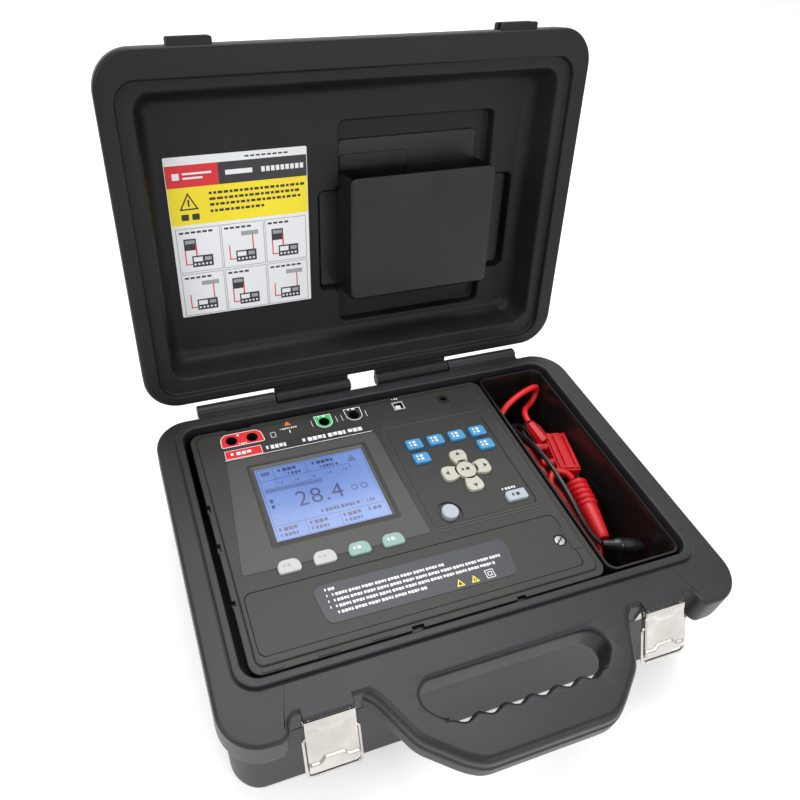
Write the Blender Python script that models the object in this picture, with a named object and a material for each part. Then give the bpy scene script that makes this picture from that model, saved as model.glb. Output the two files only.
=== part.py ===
"""Insulation resistance tester in a carrying case.

A blow-moulded case with its lid open holds an instrument on the left and a bin
of test leads on the right. The origin is the middle of the case's bottom face,
+X is the user's right, +Y is the hinge side and +Z is up. The case stands open,
and everything on the lid is drawn as if the lid were closed, then turned about
the hinge by the lid's empty. Sizes below are in millimetres, and MM turns them
into Blender's metres.
"""

import math

import bmesh
import bpy
from mathutils import Vector

MM = 0.001

# Case
CASE_W = 430.0
CASE_D = 304.0
BASE_H = 108.0
CORNER_R = 31.0
SEAM = 0.3
BUMPER_H = 29.0
FRONT_WALL_TOP = -136.5
FRONT_WALL_FOOT = -144.0
OPENING = (-190.5, 190.5, -107.0, 136.5)
OPENING_R = 14.0
BEAD_W = 6.5
BEAD_BACK_W = 3.6
BEAD_H = 3.0
FLOOR_T = 5.0

# Lid, drawn closed
LID_H = 56.0
LID_LIP_H = 20.0
LID_STEP = (-201.0, 199.0, -130.0, 142.0)
LID_STEP_H = 5.5
LID_CAVITY = (-187.0, 187.5, -120.0, 127.0)
LID_CAVITY_H = 36.0
LID_OPEN_DEG = 104.13
HINGE_Y = 160.5
HINGE_Z = 105.8
KNUCKLE_R = 6.5
PIN_R = 2.0
PIN_HOLE_R = 2.3
KNUCKLES = (("left", -171.0, -94.0, -16.0), ("right", 173.0, 93.0, 13.0))

# Handle
HANDLE_T = 28.0
GRIP_PITCH = 20.7

# Latches
LATCH_X = 140.0
LEVER_Y = -141.5
LEVER_Z = 101.3
LEVER_W = 37.4
LEVER_L = 39.5
LEVER_OUT_DEG = 31.0
SHEET_T = 1.0
BAIL_DROP = 13.5
BAIL_L = 31.0
WIRE_R = 1.2
KEEPER_SLOT_Z = 116.0

# Instrument
PANEL = (-184.5, 115.0, -103.0, 134.0)
PANEL_TOP = BASE_H - 3.0
PANEL_T = 5.0
PANEL_R = 10.0
DISPLAY = (-136.5, -34.0, -0.5, 78.5)
KEY_PROUD = 2.6
KEY_GAP = 0.45
KEY_DEPTH = 7.0
BATTERY_COVER = (-175.0, 100.0, -91.0, -39.0)
COVER_SCREW = (92.0, -64.7)
NOTES = (-121.0, 42.0, -82.0, -48.5)

# Accessory bin
BIN = (116.2, 188.5, -103.0, 134.0)
BIN_WALL = 2.0
BIN_FLOOR = 8.0

# Test leads
RED_D = 6.0
RED_COIL = (136.8, 3.0, 120.0, 15.0)
BLACK_D = 4.5
BLACK_COIL = (169.0, 42.0, 90.0, 11.0)
COIL_FOOT = 10.4
COIL_TOP = 66.0


# ---------------------------------------------------------------- materials
def material(name, colour, roughness, metallic=0.0):
    made = bpy.data.materials.get(name) or bpy.data.materials.new(name)
    made.use_nodes = True
    shader = made.node_tree.nodes["Principled BSDF"]
    shader.inputs["Base Color"].default_value = (*colour, 1.0)
    shader.inputs["Roughness"].default_value = roughness
    shader.inputs["Metallic"].default_value = metallic
    return made


def case_plastic():
    return material("case_plastic", (0.05, 0.05, 0.056), 0.5)


def panel_plastic():
    return material("panel_plastic", (0.075, 0.073, 0.07), 0.5)


def black_plastic():
    return material("black_plastic", (0.02, 0.02, 0.021), 0.35)


def nickel():
    return material("nickel", (0.75, 0.72, 0.68), 0.22, 1.0)


def steel():
    return material("steel", (0.6, 0.6, 0.6), 0.3, 1.0)


def red_rubber():
    return material("red_rubber", (0.7, 0.02, 0.03), 0.35)


def black_rubber():
    return material("black_rubber", (0.02, 0.02, 0.02), 0.4)


# ---------------------------------------------------------------- outlines
def outline_rect(x0, x1, y0, y1, radius, steps=5):
    """A rounded rectangle, anticlockwise, as (x, y) points."""
    points = []
    corners = ((x1, y0, -90), (x1, y1, 0), (x0, y1, 90), (x0, y0, 180))
    for x, y, start in corners:
        cx = x - math.copysign(radius, x - (x0 + x1) / 2)
        cy = y - math.copysign(radius, y - (y0 + y1) / 2)
        for i in range(steps + 1):
            a = math.radians(start + 90 * i / steps)
            points.append((cx + radius * math.cos(a), cy + radius * math.sin(a)))
    return points


def outline_rounded(corners, radius, steps=3):
    """A polygon given anticlockwise, with each corner turned into a short curve."""
    points = []
    for i, corner in enumerate(corners):
        here = Vector(corner)
        before = Vector(corners[i - 1]) - here
        after = Vector(corners[(i + 1) % len(corners)]) - here
        reach = min(radius, before.length * 0.45, after.length * 0.45)
        a = here + before.normalized() * reach
        b = here + after.normalized() * reach
        for k in range(steps + 1):
            t = k / steps
            p = a * (1 - t) ** 2 + here * 2 * t * (1 - t) + b * t**2
            points.append((p.x, p.y))
    return points


def outline_circle(x, y, radius, sides=20):
    turn = 2 * math.pi / sides
    return [
        (x + radius * math.cos(i * turn), y + radius * math.sin(i * turn))
        for i in range(sides)
    ]


def shrunk(outline, by):
    """The outline moved inwards by the same distance all round."""
    points = []
    for i, point in enumerate(outline):
        here = Vector(point)
        before = (here - Vector(outline[i - 1])).normalized()
        after = (Vector(outline[(i + 1) % len(outline)]) - here).normalized()
        inward = Vector((-before.y - after.y, before.x + after.x))
        inward = inward.normalized() / max(0.4, math.cos(before.angle(after, 0) / 2))
        points.append((here.x + inward.x * by, here.y + inward.y * by))
    return points


def moved(outline, dx, dy):
    return [(x + dx, y + dy) for x, y in outline]


# ---------------------------------------------------------------- solids
def new_object(name, bm, finish, parent=None):
    bmesh.ops.recalc_face_normals(bm, faces=bm.faces)
    mesh = bpy.data.meshes.new(name)
    bm.to_mesh(mesh)
    bm.free()
    mesh.materials.append(finish)
    made = bpy.data.objects.new(name, mesh)
    bpy.context.scene.collection.objects.link(made)
    made.parent = parent
    return made


def add_loft(bm, rings):
    """Rings of (outline, z), bottom to top, joined by walls and closed by two ends."""
    loops = [
        [bm.verts.new((x * MM, y * MM, z * MM)) for x, y in outline]
        for outline, z in rings
    ]
    count = len(loops[0])
    for low, high in zip(loops, loops[1:]):
        for i in range(count):
            j = (i + 1) % count
            bm.faces.new((low[i], low[j], high[j], high[i]))
    bm.faces.new(list(reversed(loops[0])))
    bm.faces.new(loops[-1])


def loft(name, rings, finish, parent=None):
    bm = bmesh.new()
    add_loft(bm, rings)
    return new_object(name, bm, finish, parent)


def prism(name, outline, z0, z1, finish, parent=None, edge=0.0):
    """An upright block; edge takes the sharpness off its top."""
    rings = [(outline, z0), (outline, z1 - edge)]
    if edge:
        rings.append((shrunk(outline, edge), z1))
    return loft(name, rings, finish, parent)


def block(name, low, high, finish, parent=None):
    outline = [(low[0], low[1]), (high[0], low[1]), (high[0], high[1]), (low[0], high[1])]
    return loft(name, [(outline, low[2]), (outline, high[2])], finish, parent)


def side_profile(name, x0, x1, outline, finish, parent=None):
    """A bar along X whose cross-section is given as (y, z) points."""
    bm = bmesh.new()
    ends = [
        [bm.verts.new((x * MM, y * MM, z * MM)) for y, z in outline] for x in (x0, x1)
    ]
    count = len(outline)
    for i in range(count):
        j = (i + 1) % count
        bm.faces.new((ends[0][i], ends[0][j], ends[1][j], ends[1][i]))
    bm.faces.new(list(reversed(ends[0])))
    bm.faces.new(ends[1])
    return new_object(name, bm, finish, parent)


def cross_bar(name, x0, x1, y, z, radius, finish, parent=None, sides=16):
    """A round bar along X."""
    return side_profile(
        name, x0, x1, outline_circle(y, z, radius, sides), finish, parent
    )


def turned(name, profile, finish, start, end, sides=16):
    """A round piece on the line from start to end; profile is (distance, radius)."""
    a, b = Vector(start), Vector(end)
    along = (b - a).normalized()
    across = along.cross(Vector((0, 0, 1))).normalized()
    up = across.cross(along)
    bm = bmesh.new()
    loops = []
    for distance, radius in profile:
        ring = []
        for i in range(sides):
            turn = 2 * math.pi * i / sides
            p = a + along * distance
            p += (across * math.cos(turn) + up * math.sin(turn)) * radius
            ring.append(bm.verts.new(p * MM))
        loops.append(ring)
    for low, high in zip(loops, loops[1:]):
        for i in range(sides):
            j = (i + 1) % sides
            bm.faces.new((low[i], low[j], high[j], high[i]))
    bm.faces.new(list(reversed(loops[0])))
    bm.faces.new(loops[-1])
    made = new_object(name, bm, finish)
    made.data.shade_smooth()
    made.data.set_sharp_from_angle(angle=math.radians(35))
    return made


def carve(target, tool, operation="DIFFERENCE"):
    """Cut the tool out of the target, or join it on with UNION."""
    modifier = target.modifiers.new(tool.name, "BOOLEAN")
    modifier.operation = operation
    modifier.solver = "EXACT"
    modifier.object = tool
    tool.hide_render = True
    tool.display_type = "WIRE"


def empty(name, x, y, z, parent=None, tilt_deg=0.0):
    made = bpy.data.objects.new(name, None)
    bpy.context.scene.collection.objects.link(made)
    made.location = (x * MM, y * MM, z * MM)
    made.rotation_euler = (math.radians(tilt_deg), 0.0, 0.0)
    made.parent = parent
    return made


# ---------------------------------------------------------------- case
def case_outline(inset, front=None, back=None, radius=CORNER_R):
    front = inset if front is None else front
    back = inset if back is None else back
    half_w = CASE_W / 2 - inset
    return outline_rect(
        -half_w, half_w, -CASE_D / 2 + front, CASE_D / 2 - back, radius, 6
    )


def handle_outline(inset):
    half = [(106, -130), (106, -141), (89, -178), (62, -200), (50, -206)]
    right = [(x, y) for x, y in reversed(half)]
    left = [(-x, y) for x, y in half]
    return outline_rounded(shrunk(right + left, inset), 4.0)


def finger_outline():
    """The gap behind the grip, with a groove for each finger along its front."""
    points = [(68, -141.5), (-68, -141.5), (-75, -148), (-75, -156), (-66, -168)]
    steps = 24
    reach = 3 * GRIP_PITCH
    for i in range(steps + 1):
        x = -reach + 2 * reach * i / steps
        y = -170.5 - 4.0 * abs(math.sin(math.pi * x / GRIP_PITCH))
        points.append((x, y))
    points += [(66, -168), (75, -156), (75, -148)]
    return points


def case_base():
    top = BASE_H
    wall = FRONT_WALL_TOP + CASE_D / 2
    foot = FRONT_WALL_FOOT + CASE_D / 2
    base = loft(
        "case_base",
        [
            (case_outline(12, foot + 4, 12, 24), 0),
            (case_outline(8, foot, 8, 27), 4),
            (case_outline(5, wall, 5, 28), top - BUMPER_H - 2),
            (case_outline(5, wall, 5, 28), top - 1.5),
        ],
        case_plastic(),
    )
    bumper = loft(
        "bumper_shape",
        [
            (case_outline(4, radius=28), top - BUMPER_H),
            (case_outline(0), top - BUMPER_H + 4),
            (case_outline(0), top - 3),
            (case_outline(0.9, radius=30.4), top - 0.9),
            (case_outline(3, radius=29), top),
        ],
        case_plastic(),
    )
    notch = prism(
        "latch_zone_shape",
        outline_rect(-169, 169, -190, FRONT_WALL_TOP - 0.2, 8, 3),
        top - BUMPER_H - 1,
        top + 1,
        case_plastic(),
    )
    carve(bumper, notch)
    carve(base, bumper, "UNION")
    carve(base, handle_shape(), "UNION")
    carve(base, bead_shape(), "UNION")
    for side in (-1, 1):
        carve(base, latch_ledge_shape(side), "UNION")
    for side, outer, middle, _ in KNUCKLES:
        carve(base, base_knuckle_shape(side, outer, middle), "UNION")
    cavity = prism(
        "cavity_shape",
        outline_rect(*OPENING, OPENING_R),
        FLOOR_T,
        top + 10,
        case_plastic(),
    )
    carve(base, cavity)
    carve(base, finger_shape())
    for side, outer, _, inner in KNUCKLES:
        x0, x1 = sorted((outer, inner))
        carve(
            base,
            cross_bar(
                f"pin_hole_shape_{side}", x0 - 1, x1 + 1, HINGE_Y, HINGE_Z,
                PIN_HOLE_R, case_plastic(),
            ),
        )
    return base


def handle_shape():
    top = BASE_H
    return loft(
        "handle_shape",
        [
            (handle_outline(5), top - HANDLE_T),
            (handle_outline(0), top - HANDLE_T + 6),
            (handle_outline(0), top - 5),
            (handle_outline(1.4), top - 1.4),
            (handle_outline(5), top - 0.1),
        ],
        case_plastic(),
    )


def finger_shape():
    return prism(
        "finger_shape",
        finger_outline(),
        BASE_H - HANDLE_T - 2,
        BASE_H + 2,
        case_plastic(),
    )


def bead_shape():
    x0, x1, y0, y1 = OPENING
    w = BEAD_W
    outline = outline_rect(x0 - w, x1 + w, y0 - w, y1 + BEAD_BACK_W, OPENING_R + 4)
    return loft(
        "bead_shape",
        [
            (outline, BASE_H - 6),
            (outline, BASE_H + BEAD_H - 1.2),
            (shrunk(outline, 1.2), BASE_H + BEAD_H),
        ],
        case_plastic(),
    )


def latch_ledge_shape(side):
    """The bit of rim that reaches out over a latch bracket."""
    x = side * LATCH_X
    return block(
        f"latch_ledge_shape_{side + 1}",
        (x - 19, -142.0, BASE_H - 2.4),
        (x + 19, FRONT_WALL_TOP + 4, BASE_H - 0.05),
        case_plastic(),
    )


def base_knuckle_shape(side, outer, middle):
    x0, x1 = sorted((outer, middle))
    gap = SEAM if side == "left" else -SEAM
    x0, x1 = (x0, x1 - gap) if side == "left" else (x0 - gap, x1)
    profile = knuckle_profile(below=True)
    return side_profile(f"base_knuckle_shape_{side}", x0, x1, profile, case_plastic())


def knuckle_profile(below):
    """A barrel on the hinge line with its arm, as (y, z); the base's arm is below the seam."""
    y, z, r = HINGE_Y, HINGE_Z, KNUCKLE_R
    arm_y = CASE_D / 2 - 4
    sides = 10
    if below:
        barrel = [
            (y + r * math.cos(a), z + r * math.sin(a))
            for a in (math.radians(-90 + 245 * i / sides) for i in range(sides + 1))
        ]
        return [(arm_y, z - r), *barrel, (arm_y, BASE_H - 0.4)]
    seam = BASE_H + SEAM + 0.1
    barrel = [
        (y + r * math.cos(a), z + r * math.sin(a))
        for a in (math.radians(-202 + 292 * i / sides) for i in range(sides + 1))
    ]
    return [(arm_y, seam), *barrel, (arm_y, z + r)]


def hinge_pins():
    for side, outer, _, inner in KNUCKLES:
        x0, x1 = sorted((outer, inner))
        pin = cross_bar(
            f"hinge_pin_{side}", x0 + 0.5, x1 - 0.5, HINGE_Y, HINGE_Z, PIN_R, steel()
        )
        pin.data.shade_smooth()
        pin.data.set_sharp_from_angle(angle=math.radians(35))


# ---------------------------------------------------------------- lid
def on_hinge(outline):
    """A plan outline of the closed lid, measured from the hinge line."""
    return moved(outline, 0.0, -HINGE_Y)


def lid_z(height):
    """A height above the seam, measured from the hinge line."""
    return BASE_H + SEAM + height - HINGE_Z


def case_lid(hinge):
    lid = loft(
        "case_lid",
        [
            (on_hinge(case_outline(3, radius=29)), lid_z(0)),
            (on_hinge(case_outline(0.9, radius=30.4)), lid_z(0.9)),
            (on_hinge(case_outline(0)), lid_z(3)),
            (on_hinge(case_outline(0)), lid_z(LID_LIP_H)),
            (on_hinge(case_outline(4, radius=28)), lid_z(LID_LIP_H + 3)),
            (on_hinge(case_outline(9, radius=27)), lid_z(LID_H - 7)),
            (on_hinge(case_outline(12, radius=25)), lid_z(LID_H - 2)),
            (on_hinge(case_outline(17, radius=22)), lid_z(LID_H)),
        ],
        case_plastic(),
        hinge,
    )
    for side in (-1, 1):
        carve(lid, keeper_shape(side, hinge), "UNION")
    for side, _, middle, inner in KNUCKLES:
        carve(lid, lid_knuckle_shape(side, middle, inner, hinge), "UNION")
    step = prism(
        "lid_step_shape",
        on_hinge(outline_rect(*LID_STEP, 18)),
        lid_z(-2),
        lid_z(LID_STEP_H),
        case_plastic(),
        hinge,
    )
    carve(lid, step)
    carve(lid, lid_cavity_shape(hinge))
    carve(lid, pocket_recess_shape(hinge))
    for side in (-1, 1):
        carve(lid, keeper_slot_shape(side, hinge))
    for side, outer, _, inner in KNUCKLES:
        x0, x1 = sorted((outer, inner))
        carve(
            lid,
            cross_bar(
                f"lid_pin_hole_shape_{side}", x0 - 1, x1 + 1, 0, 0,
                PIN_HOLE_R, case_plastic(), hinge,
            ),
        )
    return lid


def lid_cavity_shape(hinge):
    x0, x1, y0, y1 = LID_CAVITY
    outline = on_hinge(outline_rect(x0, x1, y0, y1, 14))
    return loft(
        "lid_cavity_shape",
        [
            (outline, lid_z(LID_STEP_H - 2)),
            (shrunk(outline, 4), lid_z(LID_CAVITY_H - 9)),
            (shrunk(outline, 6), lid_z(LID_CAVITY_H - 3)),
            (shrunk(outline, 10), lid_z(LID_CAVITY_H)),
        ],
        case_plastic(),
        hinge,
    )


# The pocket's place on the lid: x from and to, then y of the closed lid
POCKET = (-10.5, 134.5, -40.5, 74.0)
POCKET_FRONT = 6.0
RECESS_H = 48.0


def pocket_recess_shape(hinge):
    """A cross-shaped recess in the lid's floor that the pocket drops into."""
    x0, x1, y0, y1 = POCKET
    tall = (x0 - 2.5, x1 + 10, y0 - 44, y1 + 34)
    wide = (x0 - 21, x1 + 36, y0 + 16, y1 - 2)
    recess = prism(
        "recess_tall_shape",
        on_hinge(outline_rect(*tall, 6, 3)),
        lid_z(LID_CAVITY_H - 2),
        lid_z(RECESS_H),
        case_plastic(),
        hinge,
    )
    across = prism(
        "recess_wide_shape",
        on_hinge(outline_rect(*wide, 6, 3)),
        lid_z(LID_CAVITY_H - 2.5),
        lid_z(RECESS_H - 0.5),
        case_plastic(),
        hinge,
    )
    carve(recess, across, "UNION")
    return recess


def keeper_shape(side, hinge):
    """The tab on the lid's front lip that a latch bail hooks over."""
    x = side * LATCH_X
    y = -CASE_D / 2 - HINGE_Y
    return loft(
        f"keeper_shape_{side + 1}",
        [
            (outline_rect(x - 16.5, x + 16.5, y - 4.5, y + 4, 1.5, 2), lid_z(2.5)),
            (outline_rect(x - 16.5, x + 16.5, y - 6.5, y + 4, 1.5, 2), lid_z(5)),
            (outline_rect(x - 16.5, x + 16.5, y - 6.5, y + 4, 1.5, 2), lid_z(16)),
        ],
        case_plastic(),
        hinge,
    )


def keeper_slot_shape(side, hinge):
    x = side * LATCH_X
    y = -CASE_D / 2 - HINGE_Y
    z = KEEPER_SLOT_Z - HINGE_Z
    return block(
        f"keeper_slot_shape_{side + 1}",
        (x - 18, y - 8, z - 2.4),
        (x + 18, y - 1.2, z + 2.4),
        case_plastic(),
        hinge,
    )


def lid_knuckle_shape(side, middle, inner, hinge):
    x0, x1 = sorted((middle, inner))
    x0, x1 = (x0 + SEAM, x1) if side == "left" else (x0, x1 - SEAM)
    profile = [(y - HINGE_Y, z - HINGE_Z) for y, z in knuckle_profile(below=False)]
    return side_profile(
        f"lid_knuckle_shape_{side}", x0, x1, profile, case_plastic(), hinge
    )


def document_pocket(hinge):
    x0, x1, y0, y1 = POCKET
    wall = 2.0
    back = RECESS_H - 1.2
    front = on_hinge(outline_rect(x0, x1, y0, y1, 4, 3))
    foot = on_hinge(outline_rect(x0 - 1.5, x1 + 1.5, y0 - 1.5, y1 + 1.5, 4, 3))
    pocket = loft(
        "document_pocket",
        [(front, lid_z(POCKET_FRONT)), (foot, lid_z(back))],
        black_plastic(),
        hinge,
    )
    plate = prism(
        "pocket_plate_shape",
        on_hinge(outline_rect(x0 - 18, x1 + 33, y0 + 18, y1 - 4, 4, 3)),
        lid_z(back - 2.5),
        lid_z(back - 0.3),
        black_plastic(),
        hinge,
    )
    inside = prism(
        "pocket_inside_shape",
        on_hinge(outline_rect(x0 + wall, x1 - wall, y0 - 20, y1 - wall, 2, 2)),
        lid_z(POCKET_FRONT + wall),
        lid_z(back - 4),
        black_plastic(),
        hinge,
    )
    carve(pocket, plate, "UNION")
    carve(pocket, inside)
    return pocket


def instruction_label(hinge):
    outline = on_hinge(outline_rect(-168.0, -42.0, -66.5, 78.0, 1, 1))
    return prism(
        "instruction_label",
        outline,
        lid_z(LID_CAVITY_H - 0.7),
        lid_z(LID_CAVITY_H - 0.3),
        material("label_paper", (0.85, 0.85, 0.86), 0.45),
        hinge,
    )


# ---------------------------------------------------------------- latches
def latch(name, side):
    x = side * LATCH_X
    bracket = block(
        f"latch_bracket_{name}",
        (x - 15.5, FRONT_WALL_TOP - 1.3, LEVER_Z - 20),
        (x + 15.5, FRONT_WALL_TOP - 0.4, LEVER_Z + 3.4),
        nickel(),
    )
    ear_profile = [(FRONT_WALL_TOP - 0.6, LEVER_Z - 8), (FRONT_WALL_TOP - 0.6, LEVER_Z + 2.3)]
    for i in range(6):
        a = math.radians(90 + 30 * i)
        ear_profile.append((LEVER_Y + 2.3 * math.cos(a), LEVER_Z + 2.3 * math.sin(a)))
    for end in (-1, 1):
        x0, x1 = x + end * 15 - 0.5, x + end * 15 + 0.5
        ear = side_profile(
            f"bracket_ear_shape_{name}_{end + 1}", x0, x1, ear_profile, nickel()
        )
        carve(bracket, ear, "UNION")
    hole = cross_bar(
        f"bracket_hole_shape_{name}", x - 17, x + 17, LEVER_Y, LEVER_Z, 1.7, nickel(),
        sides=10,
    )
    carve(bracket, hole)
    cross_bar(
        f"latch_pin_{name}", x - 20, x + 20, LEVER_Y, LEVER_Z, 1.4, steel(), sides=10
    )
    pivot = empty(f"lever_pivot_{name}", x, LEVER_Y, LEVER_Z, None, -LEVER_OUT_DEG)
    latch_lever(name, pivot)
    hook = empty(f"bail_pivot_{name}", 0, -0.5, -BAIL_DROP, pivot)
    latch_bail(name, hook)


def latch_lever(name, pivot):
    half = LEVER_W / 2
    front = -3.5
    lever = block(
        f"latch_lever_{name}",
        (-half, front, 1.5 - LEVER_L),
        (half, front + SHEET_T, 1.5),
        nickel(),
        pivot,
    )
    flange = [(front + 0.1, 1.5), (front + 0.1, 1.5 - LEVER_L)]
    flange += [(front + 3.5, 1.5 - LEVER_L), (2.2, -22.0), (2.2, 1.5)]
    for end in (-1, 1):
        outer = end * half
        x0, x1 = sorted((outer, outer - end * SHEET_T))
        side = side_profile(
            f"lever_flange_shape_{name}_{end + 1}", x0, x1, flange, nickel(), pivot
        )
        carve(lever, side, "UNION")
    for label, y, z, r in (("pin", 0, 0, 1.7), ("bail", -0.5, -BAIL_DROP, 1.5)):
        hole = cross_bar(
            f"lever_{label}_hole_shape_{name}", -half - 2, half + 2, y, z, r,
            nickel(), pivot, sides=10,
        )
        carve(lever, hole)
    return lever


def latch_bail(name, hook):
    """A round-wire loop: two inturned ends, two arms and a bottom bar."""
    arm = LEVER_W / 2 + 1.7
    tuck = LEVER_W / 2 - 2.0
    bend = 4.0
    half = [(tuck, 0.0), (arm - 1.2, 0.0), (arm, -1.2), (arm, -BAIL_L + bend)]
    for i in range(1, 4):
        a = math.radians(30 * i)
        half.append(
            (arm - bend + bend * math.cos(a), -BAIL_L + bend - bend * math.sin(a))
        )
    route = half + [(-x, z) for x, z in reversed(half)]
    bail = tube_from(
        f"latch_bail_{name}", [(x, 0.0, z) for x, z in route], WIRE_R, nickel(), 1
    )
    bail.parent = hook
    return bail


# ---------------------------------------------------------------- instrument
def instrument_housing():
    x0, x1, y0, y1 = PANEL
    top = PANEL_TOP - PANEL_T - 0.3
    housing = loft(
        "instrument_housing",
        [
            (outline_rect(x0 + 10, x1 - 2.5, y0 + 10, y1 - 4.5, 8, 3), BIN_FLOOR),
            (outline_rect(x0 + 5, x1 - 1.5, y0 + 5, y1 - 2.5, 9, 3), top - 4),
            (outline_rect(x0, x1, y0, y1, PANEL_R, 3), top - 3),
            (outline_rect(x0, x1, y0, y1, PANEL_R, 3), top),
        ],
        black_plastic(),
    )
    inside = prism(
        "housing_inside_shape",
        outline_rect(x0 + 13, x1 - 5, y0 + 13, y1 - 7, 6, 3),
        BIN_FLOOR + 3,
        PANEL_TOP,
        black_plastic(),
    )
    carve(housing, inside)
    return housing


def inner_parts():
    green = material("circuit_board", (0.02, 0.12, 0.05), 0.4)
    block("circuit_board", (-165, -32, 84), (100, 106, 85.6), green)
    cell = material("battery_wrap", (0.05, 0.12, 0.3), 0.5)
    prism("battery_pack", outline_rect(-165, 60, -88, -42, 6, 3), 58, 90, cell)
    coil = material("transformer_potting", (0.03, 0.03, 0.03), 0.6)
    prism(
        "high_voltage_transformer", outline_rect(-160, -90, 50, 105, 5, 3), 12, 60, coil
    )


def key_outline(shape, x, y):
    if shape == "blue":
        corners = [(-7.9, -4.2), (-6.2, -5.8), (7.9, -5.8), (7.9, 4.0), (6.0, 5.8)]
        corners.append((-7.9, 5.8))
        return moved(outline_rounded(corners, 1.6, 2), x, y)
    if shape == "function":
        corners = [(-9.6, -6.0), (9.6, -6.0), (9.6, 1.6), (6.2, 6.0), (-6.2, 6.0)]
        corners.append((-9.6, 1.6))
        return moved(outline_rounded(corners, 2.6, 2), x, y)
    if shape == "test":
        corners = [(-10.2, -5.4), (10.2, -5.4), (10.2, 5.4), (-7.4, 5.4)]
        corners.append((-10.2, 3.0))
        return moved(outline_rounded(corners, 1.8, 2), x, y)
    return outline_circle(x, y, {"power": 7.6, "ok": 9.2}[shape])


def arrow_outline(x, y, turn_deg):
    """A direction key: an outer edge, two slanted sides and a hollow for the middle key."""
    outer = [(8.2, -1.0), (7.6, 4.4), (4.6, 6.6), (-4.6, 6.6), (-7.6, 4.4), (-8.2, -1.0)]
    inner = []
    for i in range(5):
        a = math.radians(17.5 * (i - 2))
        inner.append((ENTER_GAP_R * math.sin(a), ENTER_GAP_R * math.cos(a) - PAD_REACH))
    turn = math.radians(turn_deg)
    return [
        (x + px * math.cos(turn) - py * math.sin(turn),
         y + px * math.sin(turn) + py * math.cos(turn))
        for px, py in outer + inner
    ]


PAD = (49.0, 26.0)
PAD_REACH = 17.2
ENTER_GAP_R = 10.0
WHITE = ("key_white", (0.8, 0.79, 0.76))
GREEN = ("key_green", (0.55, 0.68, 0.62))
BLUE = ("key_blue", (0.13, 0.45, 0.75))
CREAM = ("key_cream", (0.74, 0.72, 0.66))
SILVER = ("key_silver", (0.6, 0.62, 0.66))
KEYS = (
    ("function_key_1", "function", -134.0, -25.0, WHITE),
    ("function_key_2", "function", -104.2, -25.0, WHITE),
    ("function_key_3", "function", -74.5, -25.0, GREEN),
    ("function_key_4", "function", -44.7, -25.0, GREEN),
    ("blue_key_1", "blue", 15.2, 67.3, BLUE),
    ("blue_key_2", "blue", 37.3, 67.3, BLUE),
    ("blue_key_3", "blue", 59.4, 67.3, BLUE),
    ("blue_key_4", "blue", 81.6, 67.3, BLUE),
    ("blue_key_5", "blue", 81.6, 50.0, BLUE),
    ("blue_key_6", "blue", 15.2, 50.0, BLUE),
    ("test_key", "test", 79.6, -12.0, SILVER),
    ("power_key", "power", 14.2, -12.4, SILVER),
    ("enter_key", "ok", *PAD, CREAM),
    ("up_key", "arrow", 0, 0, CREAM),
    ("left_key", "arrow", 90, 0, CREAM),
    ("down_key", "arrow", 180, 0, CREAM),
    ("right_key", "arrow", 270, 0, CREAM),
)


def key_plan(shape, x, y):
    if shape != "arrow":
        return key_outline(shape, x, y)
    turn = math.radians(x)
    px = PAD[0] - PAD_REACH * math.sin(turn)
    py = PAD[1] + PAD_REACH * math.cos(turn)
    return arrow_outline(px, py, x)


def keys():
    for name, shape, x, y, (finish, colour) in KEYS:
        prism(
            name,
            key_plan(shape, x, y),
            PANEL_TOP - KEY_DEPTH,
            PANEL_TOP + KEY_PROUD,
            material(finish, colour, 0.4),
            edge=0.9,
        )


SOCKETS = (
    ("line_socket_left", -147.7, 117.0, ("socket_red", (0.6, 0.03, 0.03))),
    ("line_socket_right", -128.2, 117.0, ("socket_red", (0.6, 0.03, 0.03))),
    ("guard_socket", -57.0, 118.0, ("socket_green", (0.1, 0.5, 0.2))),
    ("earth_socket", -26.0, 119.5, ("socket_black", (0.02, 0.02, 0.02))),
)
SOCKET_R = 7.0
SOCKET_BORE_R = 5.2
USB = (21.0, 119.5)
CHARGER = (68.7, 116.5)
STRIP_FRONT = 107.5


def sockets():
    top = PANEL_TOP + 0.2
    for name, x, y, (finish, colour) in SOCKETS:
        body = prism(
            name, outline_circle(x, y, SOCKET_R, 18), top - 26, top,
            material(finish, colour, 0.4),
        )
        bore = prism(
            f"{name}_bore_shape", outline_circle(x, y, SOCKET_BORE_R, 18), top - 22,
            top + 2, black_plastic(),
        )
        carve(body, bore)
    x, y = USB
    shell = block("usb_socket", (x - 6.4, y - 5.9, top - 16), (x + 6.4, y + 5.9, top), steel())
    mouth = block(
        "usb_mouth_shape", (x - 5.4, y - 4.9, top - 13), (x + 5.4, y + 4.9, top + 2), steel()
    )
    carve(shell, mouth)
    x, y = CHARGER
    jack = prism(
        "charger_jack", outline_circle(x, y, 5.6, 16), top - 14, top, black_plastic()
    )
    barrel = prism(
        "charger_bore_shape", outline_circle(x, y, 3.2, 14), top - 11, top + 2,
        black_plastic(),
    )
    carve(jack, barrel)


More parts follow.
